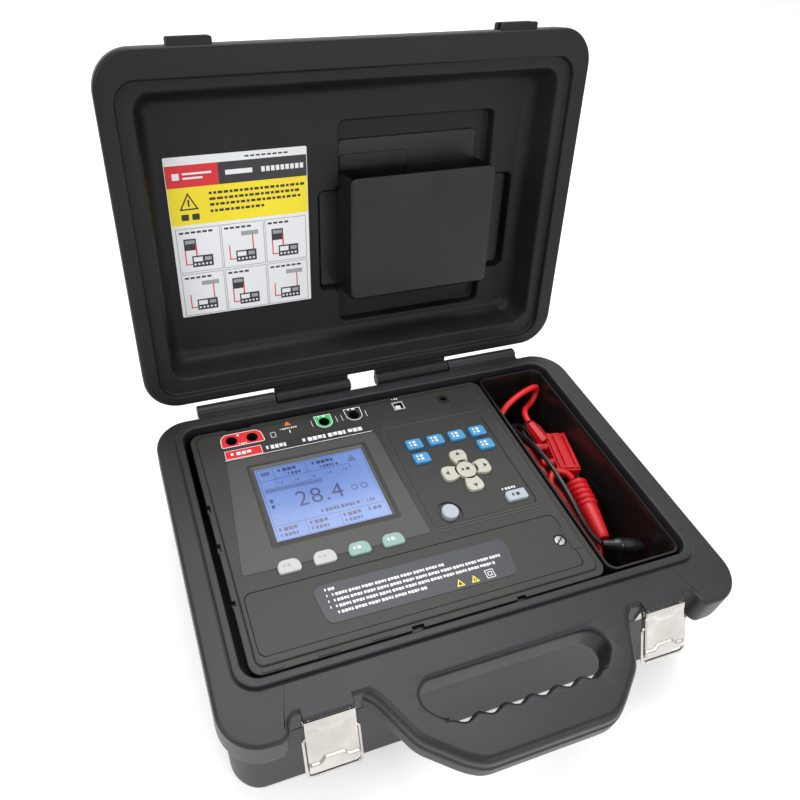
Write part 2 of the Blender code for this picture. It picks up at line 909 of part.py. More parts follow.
def top_panel():
    bottom = PANEL_TOP - PANEL_T
    panel = prism(
        "top_panel", outline_rect(*PANEL, PANEL_R), bottom, PANEL_TOP, panel_plastic(),
        edge=0.8,
    )
    bm = bmesh.new()
    for _, shape, x, y, _ in KEYS:
        if shape not in ("arrow", "ok"):
            hole = shrunk(key_plan(shape, x, y), -KEY_GAP)
            add_loft(bm, [(hole, bottom - 2), (hole, PANEL_TOP + 2)])
    cluster = outline_circle(*PAD, 25.2, 28)
    add_loft(bm, [(cluster, bottom - 2), (cluster, PANEL_TOP + 2)])
    x0, x1, y0, y1 = DISPLAY
    screen = outline_rect(x0 + 3, x1 - 3, y0 + 3, y1 - 3, 1, 2)
    add_loft(bm, [(screen, bottom - 2), (screen, PANEL_TOP + 2)])
    carve(panel, new_object("panel_holes_shape", bm, panel_plastic()))
    seat = prism(
        "display_seat_shape",
        outline_rect(x0 - 0.3, x1 + 0.3, y0 - 0.3, y1 + 0.3, 1.5, 2),
        PANEL_TOP - 2.0,
        PANEL_TOP + 2,
        panel_plastic(),
    )
    carve(panel, seat)
    x0, x1, y0, y1 = BATTERY_COVER
    bay = prism(
        "cover_seat_shape",
        outline_rect(x0 - 0.35, x1 + 0.35, y0 - 0.35, y1 + 0.35, 6, 4),
        PANEL_TOP - 3.2,
        PANEL_TOP + 2,
        panel_plastic(),
    )
    carve(panel, bay)
    x0, x1, _, y1 = PANEL
    notch = block(
        "strip_notch_shape",
        (x0 - 2, STRIP_FRONT - SEAM, bottom - 2),
        (x1 + 2, y1 + 2, PANEL_TOP + 2),
        panel_plastic(),
    )
    carve(panel, notch)
    return panel


def socket_strip():
    """The strip along the panel's back edge that the sockets come up through."""
    x0, x1, y0, _ = PANEL
    bottom = PANEL_TOP - PANEL_T
    strip = prism(
        "socket_strip", outline_rect(*PANEL, PANEL_R), bottom, PANEL_TOP, panel_plastic(),
        edge=0.8,
    )
    front = block(
        "strip_front_shape",
        (x0 - 2, y0 - 2, bottom - 2),
        (x1 + 2, STRIP_FRONT, PANEL_TOP + 2),
        panel_plastic(),
    )
    carve(strip, front)
    bm = bmesh.new()
    for _, x, y, _ in SOCKETS:
        hole = outline_circle(x, y, SOCKET_R + 0.3, 18)
        add_loft(bm, [(hole, bottom - 2), (hole, PANEL_TOP + 2)])
    for (x, y), (dx, dy) in ((USB, (6.7, 6.2)), (CHARGER, (5.9, 5.9))):
        hole = outline_rect(x - dx, x + dx, y - dy, y + dy, 0.8 if dy > 6 else 5.8, 4)
        add_loft(bm, [(hole, bottom - 2), (hole, PANEL_TOP + 2)])
    carve(strip, new_object("strip_holes_shape", bm, panel_plastic()))
    return strip


def display():
    x0, x1, y0, y1 = DISPLAY
    prism(
        "display_window",
        outline_rect(x0, x1, y0, y1, 1.5, 2),
        PANEL_TOP - 1.7,
        PANEL_TOP - 0.9,
        material("display_clear", (0.42, 0.52, 0.85), 0.08),
    )
    block(
        "display_module",
        (x0 + 1, y0 + 1, PANEL_TOP - PANEL_T - 6),
        (x1 - 1, y1 - 1, PANEL_TOP - PANEL_T - 0.3),
        material("display_glass", (0.35, 0.45, 0.8), 0.3),
    )


def battery_cover():
    x0, x1, y0, y1 = BATTERY_COVER
    cover = prism(
        "battery_cover",
        outline_rect(x0, x1, y0, y1, 6, 4),
        PANEL_TOP - 2.9,
        PANEL_TOP,
        panel_plastic(),
        edge=0.4,
    )
    seat = prism(
        "screw_seat_shape", outline_circle(*COVER_SCREW, 4.5, 18), PANEL_TOP - 2.0,
        PANEL_TOP + 2, panel_plastic(),
    )
    carve(cover, seat)
    screw = prism(
        "cover_screw", outline_circle(*COVER_SCREW, 4.1, 18), PANEL_TOP - 1.7,
        PANEL_TOP + 0.2, steel(), edge=0.4,
    )
    x, y = COVER_SCREW
    slot = block(
        "screw_slot_shape", (x - 6, y - 0.7, PANEL_TOP - 0.8), (x + 6, y + 0.7, PANEL_TOP + 2),
        steel(),
    )
    carve(screw, slot)
    x0, x1, y0, y1 = NOTES
    chamfer = 7.0
    corners = [(x0 + chamfer, y0), (x1 - chamfer, y0), (x1, y0 + chamfer)]
    corners += [(x1, y1 - chamfer), (x1 - chamfer, y1), (x0 + chamfer, y1)]
    corners += [(x0, y1 - chamfer), (x0, y0 + chamfer)]
    prism(
        "notes_label", corners, PANEL_TOP + 0.3, PANEL_TOP + 0.6,
        material("notes_film", (0.1, 0.1, 0.12), 0.4),
    )


# ---------------------------------------------------------------- bin and leads
def accessory_bin():
    x0, x1, y0, y1 = BIN
    top = PANEL_TOP
    body = loft(
        "accessory_bin",
        [
            (outline_rect(x0, x1 - 3, y0 + 3, y1 - 3, 9, 4), BIN_FLOOR),
            (outline_rect(x0, x1 - 1.2, y0 + 1.2, y1 - 1.2, 9, 4), top - 4),
            (outline_rect(x0, x1, y0, y1, 9, 4), top - 3),
            (outline_rect(x0, x1, y0, y1, 9, 4), top),
        ],
        black_plastic(),
    )
    wall = BIN_WALL
    inside = loft(
        "bin_inside_shape",
        [
            (outline_rect(x0 + wall, x1 - 5, y0 + 5, y1 - 5, 7, 4), BIN_FLOOR + wall),
            (outline_rect(x0 + wall, x1 - 3.2, y0 + 3.2, y1 - 3.2, 7, 4), top + 2),
        ],
        black_plastic(),
    )
    carve(body, inside)
    return body


def smooth_route(points, step):
    """A Catmull-Rom curve through the points, read every step millimetres."""
    knots = [Vector(p) for p in points]
    knots = [2 * knots[0] - knots[1], *knots, 2 * knots[-1] - knots[-2]]
    fine = []
    for a, b, c, d in zip(knots, knots[1:], knots[2:], knots[3:]):
        for i in range(20):
            t = i / 20
            fine.append(
                0.5
                * (
                    2 * b
                    + (c - a) * t
                    + (2 * a - 5 * b + 4 * c - d) * t**2
                    + (3 * b - a - 3 * c + d) * t**3
                )
            )
    fine.append(knots[-2])
    total = sum((q - p).length for p, q in zip(fine, fine[1:]))
    count = max(2, round(total / step))
    spaced = [fine[0]]
    walked = 0.0
    for p, q in zip(fine, fine[1:]):
        walked += (q - p).length
        if walked >= total * len(spaced) / count and len(spaced) < count:
            spaced.append(q)
    spaced.append(fine[-1])
    return [tuple(p) for p in spaced]


def tube_from(name, points, radius, finish, resolution=2):
    curve = bpy.data.curves.new(name, "CURVE")
    curve.dimensions = "3D"
    curve.bevel_depth = radius * MM
    curve.bevel_resolution = resolution
    curve.use_fill_caps = True
    spline = curve.splines.new("POLY")
    spline.points.add(len(points) - 1)
    for point, (x, y, z) in zip(spline.points, points):
        point.co = (x * MM, y * MM, z * MM, 1.0)
    curve.materials.append(finish)
    made = bpy.data.objects.new(name, curve)
    bpy.context.scene.collection.objects.link(made)
    return made


RED_TO_COIL = (
    (153.2, 81.5, 84.6),
    (153.6, 89.0, 85.6),
    (157.5, 97.0, 86.6),
    (166.0, 103.5, 88.0),
    (175.5, 108.5, 91.0),
    (179.5, 113.5, 96.5),
    (173.0, 115.0, 100.0),
    (160.0, 109.5, 98.8),
    (145.0, 104.0, 95.5),
    (132.0, 100.0, 90.5),
    (124.8, 94.0, 82.0),
    (123.5, 84.0, 73.5),
    (123.5, 72.0, 69.6),
    (123.5, 60.0, 69.5),
)
RED_TO_CLIP = (
    (127.0, -52.0, 69.5),
    (128.5, -38.0, 69.8),
    (130.5, -24.0, 72.0),
    (133.0, -10.0, 77.5),
    (138.0, 2.0, 81.5),
    (146.0, 9.5, 82.5),
    (154.5, 11.0, 81.5),
    (158.4, 5.5, 80.6),
)
BLACK_TO_CLIP = (
    (161.0, 66.0, 68.6),
    (159.0, 78.0, 69.0),
    (151.0, 88.0, 72.0),
    (140.0, 87.0, 77.0),
    (131.0, 76.0, 82.5),
    (128.8, 60.0, 86.0),
    (128.6, 40.0, 88.0),
    (128.6, 20.0, 88.6),
    (128.8, 0.0, 88.4),
    (129.2, -20.0, 87.6),
    (130.0, -40.0, 86.0),
    (133.5, -56.0, 83.5),
    (141.0, -65.0, 81.5),
)
BLACK_END = (
    (163.0, -18.4, 13.2),
    (163.6, -25.0, 14.0),
    (165.0, -31.0, 15.0),
    (166.1, -36.4, 15.8),
)


def coil_solid(name, place, diameter, finish):
    """A wound lead: the outer shape of its oval turns, lying on the bin's floor."""
    x, y, straight, radius = place
    half_w = radius + diameter / 2
    outline = outline_rect(
        x - half_w, x + half_w, y - straight / 2 - half_w, y + straight / 2 + half_w,
        half_w - 0.01, 6,
    )
    return prism(name, outline, COIL_FOOT, COIL_TOP, finish)


def red_lead():
    red = red_rubber()
    tube_from("red_lead_cable", smooth_route(RED_TO_COIL, 13), RED_D / 2, red)
    coil_solid("red_lead_coil", RED_COIL, RED_D, red)
    tube_from("red_lead_tail", smooth_route(RED_TO_CLIP, 13), RED_D / 2, red)
    red_plug(red)
    ribs = [(0.0, 5.2)]
    for i in range(5):
        ribs += [(1.0 + i * 5.6, 10.8), (4.0 + i * 5.6, 10.8), (5.2 + i * 5.6, 8.8)]
    ribs += [(33.0, 9.4), (60.0, 6.6), (64.0, 5.0)]
    turned("red_lead_clip", ribs, red, (158.5, 2.0, 80.4), (149.5, -61.5, 77.5))


BOOT_LINE = ((158.9, 56.6, 77.8), (153.4, 80.9, 84.0))


def red_plug(red):
    """Two-pin plug: a flat block turned a little, with its pins on the left side."""
    length, width, low, high = 49.0, 23.0, 69.0, 84.0
    turn = math.radians(-12.5)
    centre = Vector((167.5, 38.5))

    def place(x, y):
        return (
            centre.x + x * math.cos(turn) - y * math.sin(turn),
            centre.y + x * math.sin(turn) + y * math.cos(turn),
        )

    corners = [(-width / 2, -length / 2), (width / 2, -length / 2)]
    corners += [(width / 2, length / 2), (-width / 2, length / 2)]
    outline = outline_rounded([place(*c) for c in corners], 2.0, 2)
    plug = loft(
        "red_lead_plug",
        [
            (shrunk(outline, 1), low),
            (outline, low + 1),
            (outline, high - 1),
            (shrunk(outline, 1), high),
        ],
        red,
    )
    for i, y in enumerate((-10.0, 10.0)):
        ax, ay = place(-width / 2 + 2, y)
        bx, by = place(-width / 2 - 12.5, y)
        pin = turned(
            f"plug_pin_shape_{i}",
            [(0.0, 4.0), (13.5, 4.0), (14.5, 3.2)],
            red,
            (ax, ay, 77.0),
            (bx, by, 77.0),
            12,
        )
        carve(plug, pin, "UNION")
    seat = [(-SEAM, 7.4), (8.0, 7.0), (20.0, 5.4), (26.0, 4.4)]
    carve(plug, turned("boot_seat_shape", seat, red, *BOOT_LINE))
    turned(
        "red_lead_boot", [(0.0, 7.0), (8.0, 6.6), (20.0, 5.0), (24.6, 4.0)], red, *BOOT_LINE
    )
    return plug


def black_lead():
    black = black_rubber()
    tube_from("black_lead_cable", smooth_route(BLACK_TO_CLIP, 11), BLACK_D / 2, black)
    coil_solid("black_lead_coil", BLACK_COIL, BLACK_D, black)
    tube_from("black_lead_end", smooth_route(BLACK_END, 11), BLACK_D / 2, black)
    turned(
        "black_lead_plug",
        [(0.0, 3.6), (6.0, 5.2), (34.0, 5.2), (38.0, 4.2), (46.0, 4.2)],
        black,
        (166.2, -36.9, 15.9),
        (170.5, -84.0, 15.9),
    )
    turned(
        "black_lead_clip",
        [(0.0, 3.2), (9.0, 4.6), (14.0, 6.6), (30.0, 7.0), (38.0, 4.4), (41.0, 3.0)],
        black,
        (142.4, -66.3, 81.2),
        (178.0, -77.0, 77.0),
    )


# ---------------------------------------------------------------- assembly
def clear_scene():
    for old in list(bpy.data.objects):
        bpy.data.objects.remove(old, do_unlink=True)


def build():
    clear_scene()
    case_base()
    hinge_pins()
    hinge = empty("lid_hinge", 0, HINGE_Y, HINGE_Z, None, -LID_OPEN_DEG)
    case_lid(hinge)
    document_pocket(hinge)
    instruction_label(hinge)
    latch("left", -1)
    latch("right", 1)
    instrument_housing()
    inner_parts()
    top_panel()
    socket_strip()
    display()
    battery_cover()
    keys()
    sockets()
    accessory_bin()
    red_lead()
    black_lead()
    bpy.context.view_layer.update()


build()
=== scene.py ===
# %% [markdown]
# # Insulation resistance tester, open in its carrying case
#
# A field tester for cable and motor insulation. Its panel is sunk in the base of a hard
# case, its lid carries a document pocket and an instruction label, and two test leads
# lie coiled in a bin at the right.
#
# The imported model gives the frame: X to the user's right, Y towards the hinge, Z up,
# with the origin under the middle of the case. A scene could be built anywhere and moved
# into place at the end, but here every piece is drawn where it belongs from the start,
# so that it can ride on the right moving body. Lengths in the cells are millimetres
# unless a comment says otherwise, and `MM` turns them into metres.

import math

import bmesh
import bpy
from mathutils import Matrix, Vector


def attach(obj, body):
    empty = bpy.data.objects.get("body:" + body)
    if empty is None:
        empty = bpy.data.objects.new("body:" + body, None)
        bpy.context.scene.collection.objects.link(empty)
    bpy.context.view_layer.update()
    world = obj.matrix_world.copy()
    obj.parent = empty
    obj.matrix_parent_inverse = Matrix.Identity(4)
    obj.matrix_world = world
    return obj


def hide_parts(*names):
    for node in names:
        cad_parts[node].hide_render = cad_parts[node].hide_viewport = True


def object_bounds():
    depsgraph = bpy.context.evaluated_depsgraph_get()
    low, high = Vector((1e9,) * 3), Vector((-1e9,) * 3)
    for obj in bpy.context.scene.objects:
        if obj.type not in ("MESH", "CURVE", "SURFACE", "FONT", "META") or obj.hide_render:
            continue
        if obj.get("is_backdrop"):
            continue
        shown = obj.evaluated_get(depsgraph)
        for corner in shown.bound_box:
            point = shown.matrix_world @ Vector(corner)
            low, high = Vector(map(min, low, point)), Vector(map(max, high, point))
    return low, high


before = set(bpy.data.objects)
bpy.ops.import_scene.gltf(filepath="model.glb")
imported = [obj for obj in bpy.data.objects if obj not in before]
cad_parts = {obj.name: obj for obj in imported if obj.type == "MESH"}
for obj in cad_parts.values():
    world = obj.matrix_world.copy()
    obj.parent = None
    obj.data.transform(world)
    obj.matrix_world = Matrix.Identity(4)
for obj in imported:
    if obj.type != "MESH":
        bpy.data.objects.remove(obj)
CAD_BOX = [list(corner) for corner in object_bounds()]
MM = 0.001
print("corners of the model in metres:", CAD_BOX)

# %% [markdown]
# ## Camera
#
# The camera looks down over the front edge, a little from the left. It could be aimed
# with a Track To constraint, but a constraint hides the roll. Writing its three axes
# keeps the view exact: `right`, `down` and `ahead` are the directions of the frame's
# width, height and depth. A slightly wide lens gives the panel its strong perspective.

# %% Camera
FOCAL_LENGTH = 31.26
SIDE_SHIFT = 0.0924
CAMERA_PLACE = (-0.2292, -0.3085, 0.5877)

lens = bpy.data.cameras.new("camera")
lens.lens = FOCAL_LENGTH
lens.shift_x = SIDE_SHIFT
camera = bpy.data.objects.new("camera", lens)
bpy.context.scene.collection.objects.link(camera)
right = Vector((0.94642, -0.31707, 0.06119))
down = Vector((-0.18210, -0.68051, -0.70975))
ahead = Vector((0.26669, 0.66058, -0.70179))
turn = Matrix((right, -down, -ahead)).transposed().to_4x4()
camera.matrix_world = Matrix.Translation(CAMERA_PLACE) @ turn
bpy.context.scene.camera = camera
look_down = math.degrees(math.asin(-ahead.z))
print("camera", round(camera.location.z, 3), "m up, looking down", round(look_down), "degrees")

# %% [markdown]
# ## Surfaces
#
# Moulded plastic is never one flat colour. It has a fine grain from the mould, slow
# light and dark clouds, and pale scuffs where it rubbed against other things. Each
# material could carry its own noise nodes, but then a change of idea means editing
# thirty of them. So the effect is one node group with named inputs, and each material
# keeps only its own shader and its own values. All patterns read Object coordinates,
# so they stay on a piece when its body moves.


# %% One step of arithmetic
def calculate(tree, kind, a, b, clamp=False):
    """A Math node between two values or sockets of a shader or geometry tree."""
    made = tree.nodes.new("ShaderNodeMath")
    made.operation = kind
    made.use_clamp = clamp
    for socket, value in zip(made.inputs, (a, b)):
        if isinstance(value, (int, float)):
            socket.default_value = value
        else:
            tree.links.new(value, socket)
    return made.outputs[0]


# %% Surface group
def build_surface_group():
    group = bpy.data.node_groups.new("surface_grain", "ShaderNodeTree")
    face = group.interface
    for name, kind, value in (
        ("Colour", "NodeSocketColor", (0.1, 0.1, 0.1, 1.0)),
        ("Second colour", "NodeSocketColor", (0.2, 0.2, 0.2, 1.0)),
        ("Grain scale", "NodeSocketFloat", 900.0),
        ("Mottle scale", "NodeSocketFloat", 14.0),
        ("Scuffs", "NodeSocketFloat", 0.0),
        ("Roughness", "NodeSocketFloat", 0.5),
        ("Roughness spread", "NodeSocketFloat", 0.1),
        ("Depth", "NodeSocketFloat", 0.0001),
    ):
        socket = face.new_socket(name=name, in_out="INPUT", socket_type=kind)
        socket.default_value = value
    for name, kind in (
        ("Colour", "NodeSocketColor"),
        ("Roughness", "NodeSocketFloat"),
        ("Normal", "NodeSocketVector"),
    ):
        face.new_socket(name=name, in_out="OUTPUT", socket_type=kind)
    nodes, links = group.nodes, group.links
    given = nodes.new("NodeGroupInput")
    result = nodes.new("NodeGroupOutput")
    place = nodes.new("ShaderNodeTexCoord").outputs["Object"]

    def noise(scale, detail, rough=0.5):
        made = nodes.new("ShaderNodeTexNoise")
        made.inputs["Detail"].default_value = detail
        made.inputs["Roughness"].default_value = rough
        links.new(place, made.inputs["Vector"])
        if isinstance(scale, float):
            made.inputs["Scale"].default_value = scale
        else:
            links.new(scale, made.inputs["Scale"])
        return made.outputs["Fac"]

    def math_node(kind, a, b, clamp=False):
        return calculate(group, kind, a, b, clamp)

    mottle = noise(given.outputs["Mottle scale"], 5.0, 0.6)
    grain = noise(given.outputs["Grain scale"], 2.0)
    streak_place = nodes.new("ShaderNodeMapping")
    streak_place.inputs["Scale"].default_value = (1.0, 7.0, 3.0)
    streak_place.inputs["Rotation"].default_value = (0.3, 0.2, 0.5)
    links.new(place, streak_place.inputs["Vector"])
    streak = nodes.new("ShaderNodeTexNoise")
    streak.inputs["Scale"].default_value = 22.0
    streak.inputs["Detail"].default_value = 6.0
    streak.inputs["Distortion"].default_value = 1.5
    links.new(streak_place.outputs["Vector"], streak.inputs["Vector"])
    # Only the brightest streaks become scuffs, with a quick rise at their edges
    scuff = math_node("SUBTRACT", streak.outputs["Fac"], 0.62)
    scuff = math_node("MULTIPLY", scuff, 7.0, True)
    scuff = math_node("MULTIPLY", scuff, given.outputs["Scuffs"], True)

    # The clouds and scuffs together lead from the colour to the second colour
    spread = math_node("SUBTRACT", mottle, 0.35)
    spread = math_node("MULTIPLY", spread, 2.2, True)
    amount = math_node("ADD", spread, scuff, True)
    mix = nodes.new("ShaderNodeMix")
    mix.data_type = "RGBA"
    links.new(amount, mix.inputs["Factor"])
    links.new(given.outputs["Colour"], mix.inputs["A"])
    links.new(given.outputs["Second colour"], mix.inputs["B"])
    links.new(mix.outputs["Result"], result.inputs["Colour"])

    # Lighter clouds are a little rougher
    rough = math_node("SUBTRACT", mottle, 0.5)
    rough = math_node("MULTIPLY", rough, given.outputs["Roughness spread"])
    rough = math_node("ADD", rough, given.outputs["Roughness"], True)
    links.new(rough, result.inputs["Roughness"])

    bump = nodes.new("ShaderNodeBump")
    bump.inputs["Strength"].default_value = 0.6
    links.new(given.outputs["Depth"], bump.inputs["Distance"])
    links.new(grain, bump.inputs["Height"])
    links.new(bump.outputs["Normal"], result.inputs["Normal"])
    return group


SURFACE = build_surface_group()
print(SURFACE.name, "has", len(SURFACE.nodes), "nodes")


# %% A finished material
CLEAR_COAT_ROUGHNESS = 0.12


def finish(name, colour, second=None, rough=0.5, spread=0.15, grain=900.0, depth=8e-5,
           mottle=14.0, scuffs=0.0, metallic=0.0, coat=0.0, glow=0.0, shine=0.5):
    """A finished material; colours are linear red, green and blue."""
    made = bpy.data.materials.new(name)
    made.use_nodes = True
    nodes, links = made.node_tree.nodes, made.node_tree.links
    shader = nodes["Principled BSDF"]
    surface = nodes.new("ShaderNodeGroup")
    surface.node_tree = SURFACE
    second = second or tuple(min(1.0, c * 1.18 + 0.002) for c in colour)
    surface.inputs["Colour"].default_value = (*colour, 1.0)
    surface.inputs["Second colour"].default_value = (*second, 1.0)
    surface.inputs["Grain scale"].default_value = grain
    surface.inputs["Mottle scale"].default_value = mottle
    surface.inputs["Scuffs"].default_value = scuffs
    surface.inputs["Roughness"].default_value = rough
    surface.inputs["Roughness spread"].default_value = spread
    surface.inputs["Depth"].default_value = depth
    links.new(surface.outputs["Colour"], shader.inputs["Base Color"])
    links.new(surface.outputs["Roughness"], shader.inputs["Roughness"])
    links.new(surface.outputs["Normal"], shader.inputs["Normal"])
    shader.inputs["Metallic"].default_value = metallic
    shader.inputs["Specular IOR Level"].default_value = shine
    shader.inputs["Coat Weight"].default_value = coat
    shader.inputs["Coat Roughness"].default_value = CLEAR_COAT_ROUGHNESS
    if glow:
        links.new(surface.outputs["Colour"], shader.inputs["Emission Color"])
        shader.inputs["Emission Strength"].default_value = glow
    return made


# %% [markdown]
# ### Case and panel plastics
#
# The case and lid are the same thick dark moulded plastic, the panel is a finer and
# browner moulding, and the bin and the pocket are thinner, shinier sheets. The lid gets a
# darker, less shiny copy of the case plastic, and that difference is painted shade on the
# open lid. One black would be quicker, but under soft light the other parts are told
# apart only by how grey their scuffs are and how wide their highlights spread, so each
# gets its own pair of colours.

# %% Case and panel plastics
CASE = finish("moulded_case", (0.014, 0.014, 0.016), (0.025, 0.025, 0.029), rough=0.42,
              spread=0.25, grain=700.0, depth=6e-5, mottle=9.0, scuffs=0.5, shine=0.38)
# The lid's copy of the case plastic: darker and less shiny, which is painted shade.
LID_SHADED_COPY = finish("moulded_lid_shaded", (0.011, 0.011, 0.011), (0.019, 0.019, 0.019), rough=0.46,
                spread=0.25, grain=700.0, depth=6e-5, mottle=9.0, scuffs=0.35, shine=0.22)
TRAY = finish("pocket_plastic", (0.008, 0.008, 0.008), (0.013, 0.013, 0.013), rough=0.3,
              spread=0.2, grain=1100.0, depth=3e-5, mottle=18.0, scuffs=0.3, shine=0.4)
PANEL = finish("panel_face", (0.018, 0.0175, 0.016), (0.026, 0.025, 0.023), rough=0.5,
               spread=0.15, grain=1500.0, depth=5e-5, mottle=16.0)
PANEL_LIGHT = finish("panel_platform", (0.050, 0.049, 0.047), (0.060, 0.059, 0.057),
                     rough=0.48, spread=0.15, grain=1500.0, depth=5e-5, mottle=16.0)
BLACK = finish("black_plastic", (0.008, 0.008, 0.008), rough=0.4, spread=0.2, grain=900.0,
               depth=4e-5)
BIN = finish("bin_plastic", (0.010, 0.008, 0.008), (0.016, 0.012, 0.012), rough=0.28,
             spread=0.2, grain=900.0, depth=4e-5, mottle=12.0, scuffs=0.3)
print("case and panel plastics:", len(bpy.data.materials), "materials so far")

# %% [markdown]
# ### Metals
#
# The latches are nickel-plated sheet, warm and bright with a little haze. The pins,
# rivets and screw are plain turned steel. Both are metallic shaders: their colour is the
# colour of their reflections, so it stays well above the plastics.

# %% Metals
NICKEL = finish("nickel_plate", (0.62, 0.59, 0.55), (0.48, 0.46, 0.43), rough=0.24,
                spread=0.3, grain=300.0, depth=2e-5, mottle=30.0, scuffs=0.2, metallic=1.0)
STEEL = finish("turned_steel", (0.36, 0.35, 0.34), rough=0.34, spread=0.15, grain=900.0,
               depth=3e-5, mottle=30.0, scuffs=0.2, metallic=1.0)
print("metals:", len(bpy.data.materials), "materials so far")

# %% [markdown]
# ### Leads
#
# The leads are soft silicone with a thin greasy sheen, which is a low coat over a
# medium roughness. The moulded plug and clip are a denser, darker red than the cable.

# %% Leads
RED = finish("red_silicone", (0.66, 0.012, 0.014), (0.74, 0.022, 0.022), rough=0.34,
             spread=0.12, grain=600.0, depth=4e-5, mottle=25.0, scuffs=0.2, coat=0.1,
             shine=0.35)
RED_DARK = finish("red_moulded", (0.50, 0.006, 0.010), (0.58, 0.012, 0.016), rough=0.36,
                  spread=0.12, grain=800.0, depth=5e-5, mottle=25.0, scuffs=0.3, coat=0.08,
                  shine=0.35)
LEAD_BLACK = finish("black_silicone", (0.010, 0.011, 0.012), rough=0.3, spread=0.12,
                    grain=600.0, depth=4e-5, mottle=25.0, coat=0.2)
print("leads:", len(bpy.data.materials), "materials so far")

# %% [markdown]
# ### Paper and print
#
# Ink could be an image on the surface. Here every mark is a thin raised shape with its
# own material, so the prints stay sharp at any distance and need no picture.

# %% Paper and print
PAPER = finish("label_white", (0.82, 0.83, 0.85), (0.86, 0.87, 0.89), rough=0.35,
               spread=0.1, grain=500.0, depth=1e-5, mottle=8.0)
PRINT_RED = finish("print_red", (0.66, 0.012, 0.022), rough=0.35, spread=0.1, grain=500.0,
                   depth=1e-5)
PRINT_DARK = finish("print_dark", (0.02, 0.02, 0.024), rough=0.35, spread=0.1, grain=500.0,
                    depth=1e-5)
PRINT_YELLOW = finish("print_yellow", (0.90, 0.72, 0.01), rough=0.35, spread=0.1,
                      grain=500.0, depth=1e-5)
PRINT_GREY = finish("print_grey", (0.32, 0.33, 0.35), rough=0.4, spread=0.1, grain=500.0,
                    depth=1e-5)
PRINT_WHITE = finish("print_white", (0.75, 0.76, 0.78), rough=0.4, spread=0.1, grain=500.0,
                     depth=1e-5)
PRINT_GREEN = finish("print_green", (0.05, 0.50, 0.13), rough=0.35, spread=0.1, grain=500.0,
                     depth=1e-5)
PRINT_ORANGE = finish("print_orange", (0.62, 0.17, 0.03), rough=0.4, spread=0.1,
                      grain=500.0, depth=1e-5)
NOTE_FILM = finish("notes_film", (0.026, 0.028, 0.038), (0.034, 0.036, 0.047), rough=0.4,
                   spread=0.1, grain=900.0, depth=2e-5, mottle=20.0)
print("paper and print:", len(bpy.data.materials), "materials so far")

# %% [markdown]
# ### Display and keys
#
# The display is lit from behind, so its blue has a small glow of its own besides the
# light that falls on it, under the clear coat of its window. The keys are soft rubber:
# pale, matt, and each in its own colour.

# %% Display and keys
LCD = finish("display_blue", (0.11, 0.19, 0.45), (0.18, 0.28, 0.58), rough=0.25,
             spread=0.05, grain=1200.0, depth=1e-5, mottle=9.0, coat=0.4, glow=0.16)
LCD_INK = finish("display_ink", (0.03, 0.035, 0.13), rough=0.3, spread=0.05, grain=1200.0,
                 depth=1e-5, mottle=20.0, coat=0.6, glow=0.05)
KEY_WHITE = finish("key_white", (0.46, 0.46, 0.45), rough=0.42, spread=0.1, grain=1200.0,
                   depth=3e-5)
KEY_GREEN = finish("key_green", (0.22, 0.36, 0.32), rough=0.42, spread=0.1, grain=1200.0,
                   depth=3e-5)
KEY_BLUE = finish("key_blue", (0.055, 0.27, 0.52), (0.070, 0.31, 0.58), rough=0.36,
                  spread=0.1, grain=1200.0, depth=3e-5)
KEY_CREAM = finish("key_cream", (0.48, 0.46, 0.39), rough=0.4, spread=0.1, grain=1200.0,
                   depth=3e-5)
KEY_SILVER = finish("key_silver", (0.38, 0.42, 0.47), rough=0.38, spread=0.1, grain=1200.0,
                    depth=3e-5)
print("display and keys:", len(bpy.data.materials), "materials so far")

# %% [markdown]
# ### Inside the tester
#
# The circuit board, battery sleeve and potted transformer are seen only when the case
# is taken apart, but they are finished like the rest.

# %% Inside the tester
BOARD = finish("circuit_green", (0.01, 0.10, 0.04), (0.02, 0.15, 0.06), rough=0.4,
               spread=0.2, grain=1500.0, depth=8e-5, mottle=90.0)
WRAP = finish("battery_sleeve", (0.03, 0.08, 0.22), rough=0.35, spread=0.2, grain=300.0,
              depth=8e-5, mottle=20.0)
POTTING = finish("potting", (0.02, 0.02, 0.02), rough=0.6, spread=0.2, grain=200.0,
                 depth=2e-4, mottle=20.0)
print("inside the tester:", len(bpy.data.materials), "materials so far")

# %% [markdown]
# ## Outlines
#
# Nearly every moulded part is an outline with soft corners that changes a little from
# height to height. A Bevel modifier could soften a hard block, but it can't follow the
# steps and drafts of a mould. Plain lists of points can: each helper gives one outline,
# anticlockwise, and `shrunk` moves it inwards by an even distance.


# %% Outlines
def rounded_rect(x0, x1, y0, y1, radius, steps=10):
    """A rectangle with true quarter rounds at its corners."""
    points = []
    cx, cy = (x0 + x1) / 2, (y0 + y1) / 2
    radius = max(radius, 0.05)
    for x, y, start in ((x1, y0, -90), (x1, y1, 0), (x0, y1, 90), (x0, y0, 180)):
        px = x - math.copysign(radius, x - cx)
        py = y - math.copysign(radius, y - cy)
        for i in range(steps + 1):
            a = math.radians(start + 90 * i / steps)
            points.append((px + radius * math.cos(a), py + radius * math.sin(a)))
    return points


def circle(x, y, radius, sides=40):
    step = 2 * math.pi / sides
    return [(x + radius * math.cos(i * step), y + radius * math.sin(i * step))
            for i in range(sides)]


def rounded(corners, radius, steps=6):
    """Any corners, each one cut short and bridged with a soft curve."""
    points = []
    for i, corner in enumerate(corners):
        here = Vector(corner)
        before = Vector(corners[i - 1]) - here
        after = Vector(corners[(i + 1) % len(corners)]) - here
        a = here + before.normalized() * min(radius, before.length * 0.45)
        b = here + after.normalized() * min(radius, after.length * 0.45)
        for k in range(steps + 1):
            t = k / steps
            p = a * (1 - t) ** 2 + here * 2 * t * (1 - t) + b * t * t
            points.append((p.x, p.y))
    return points


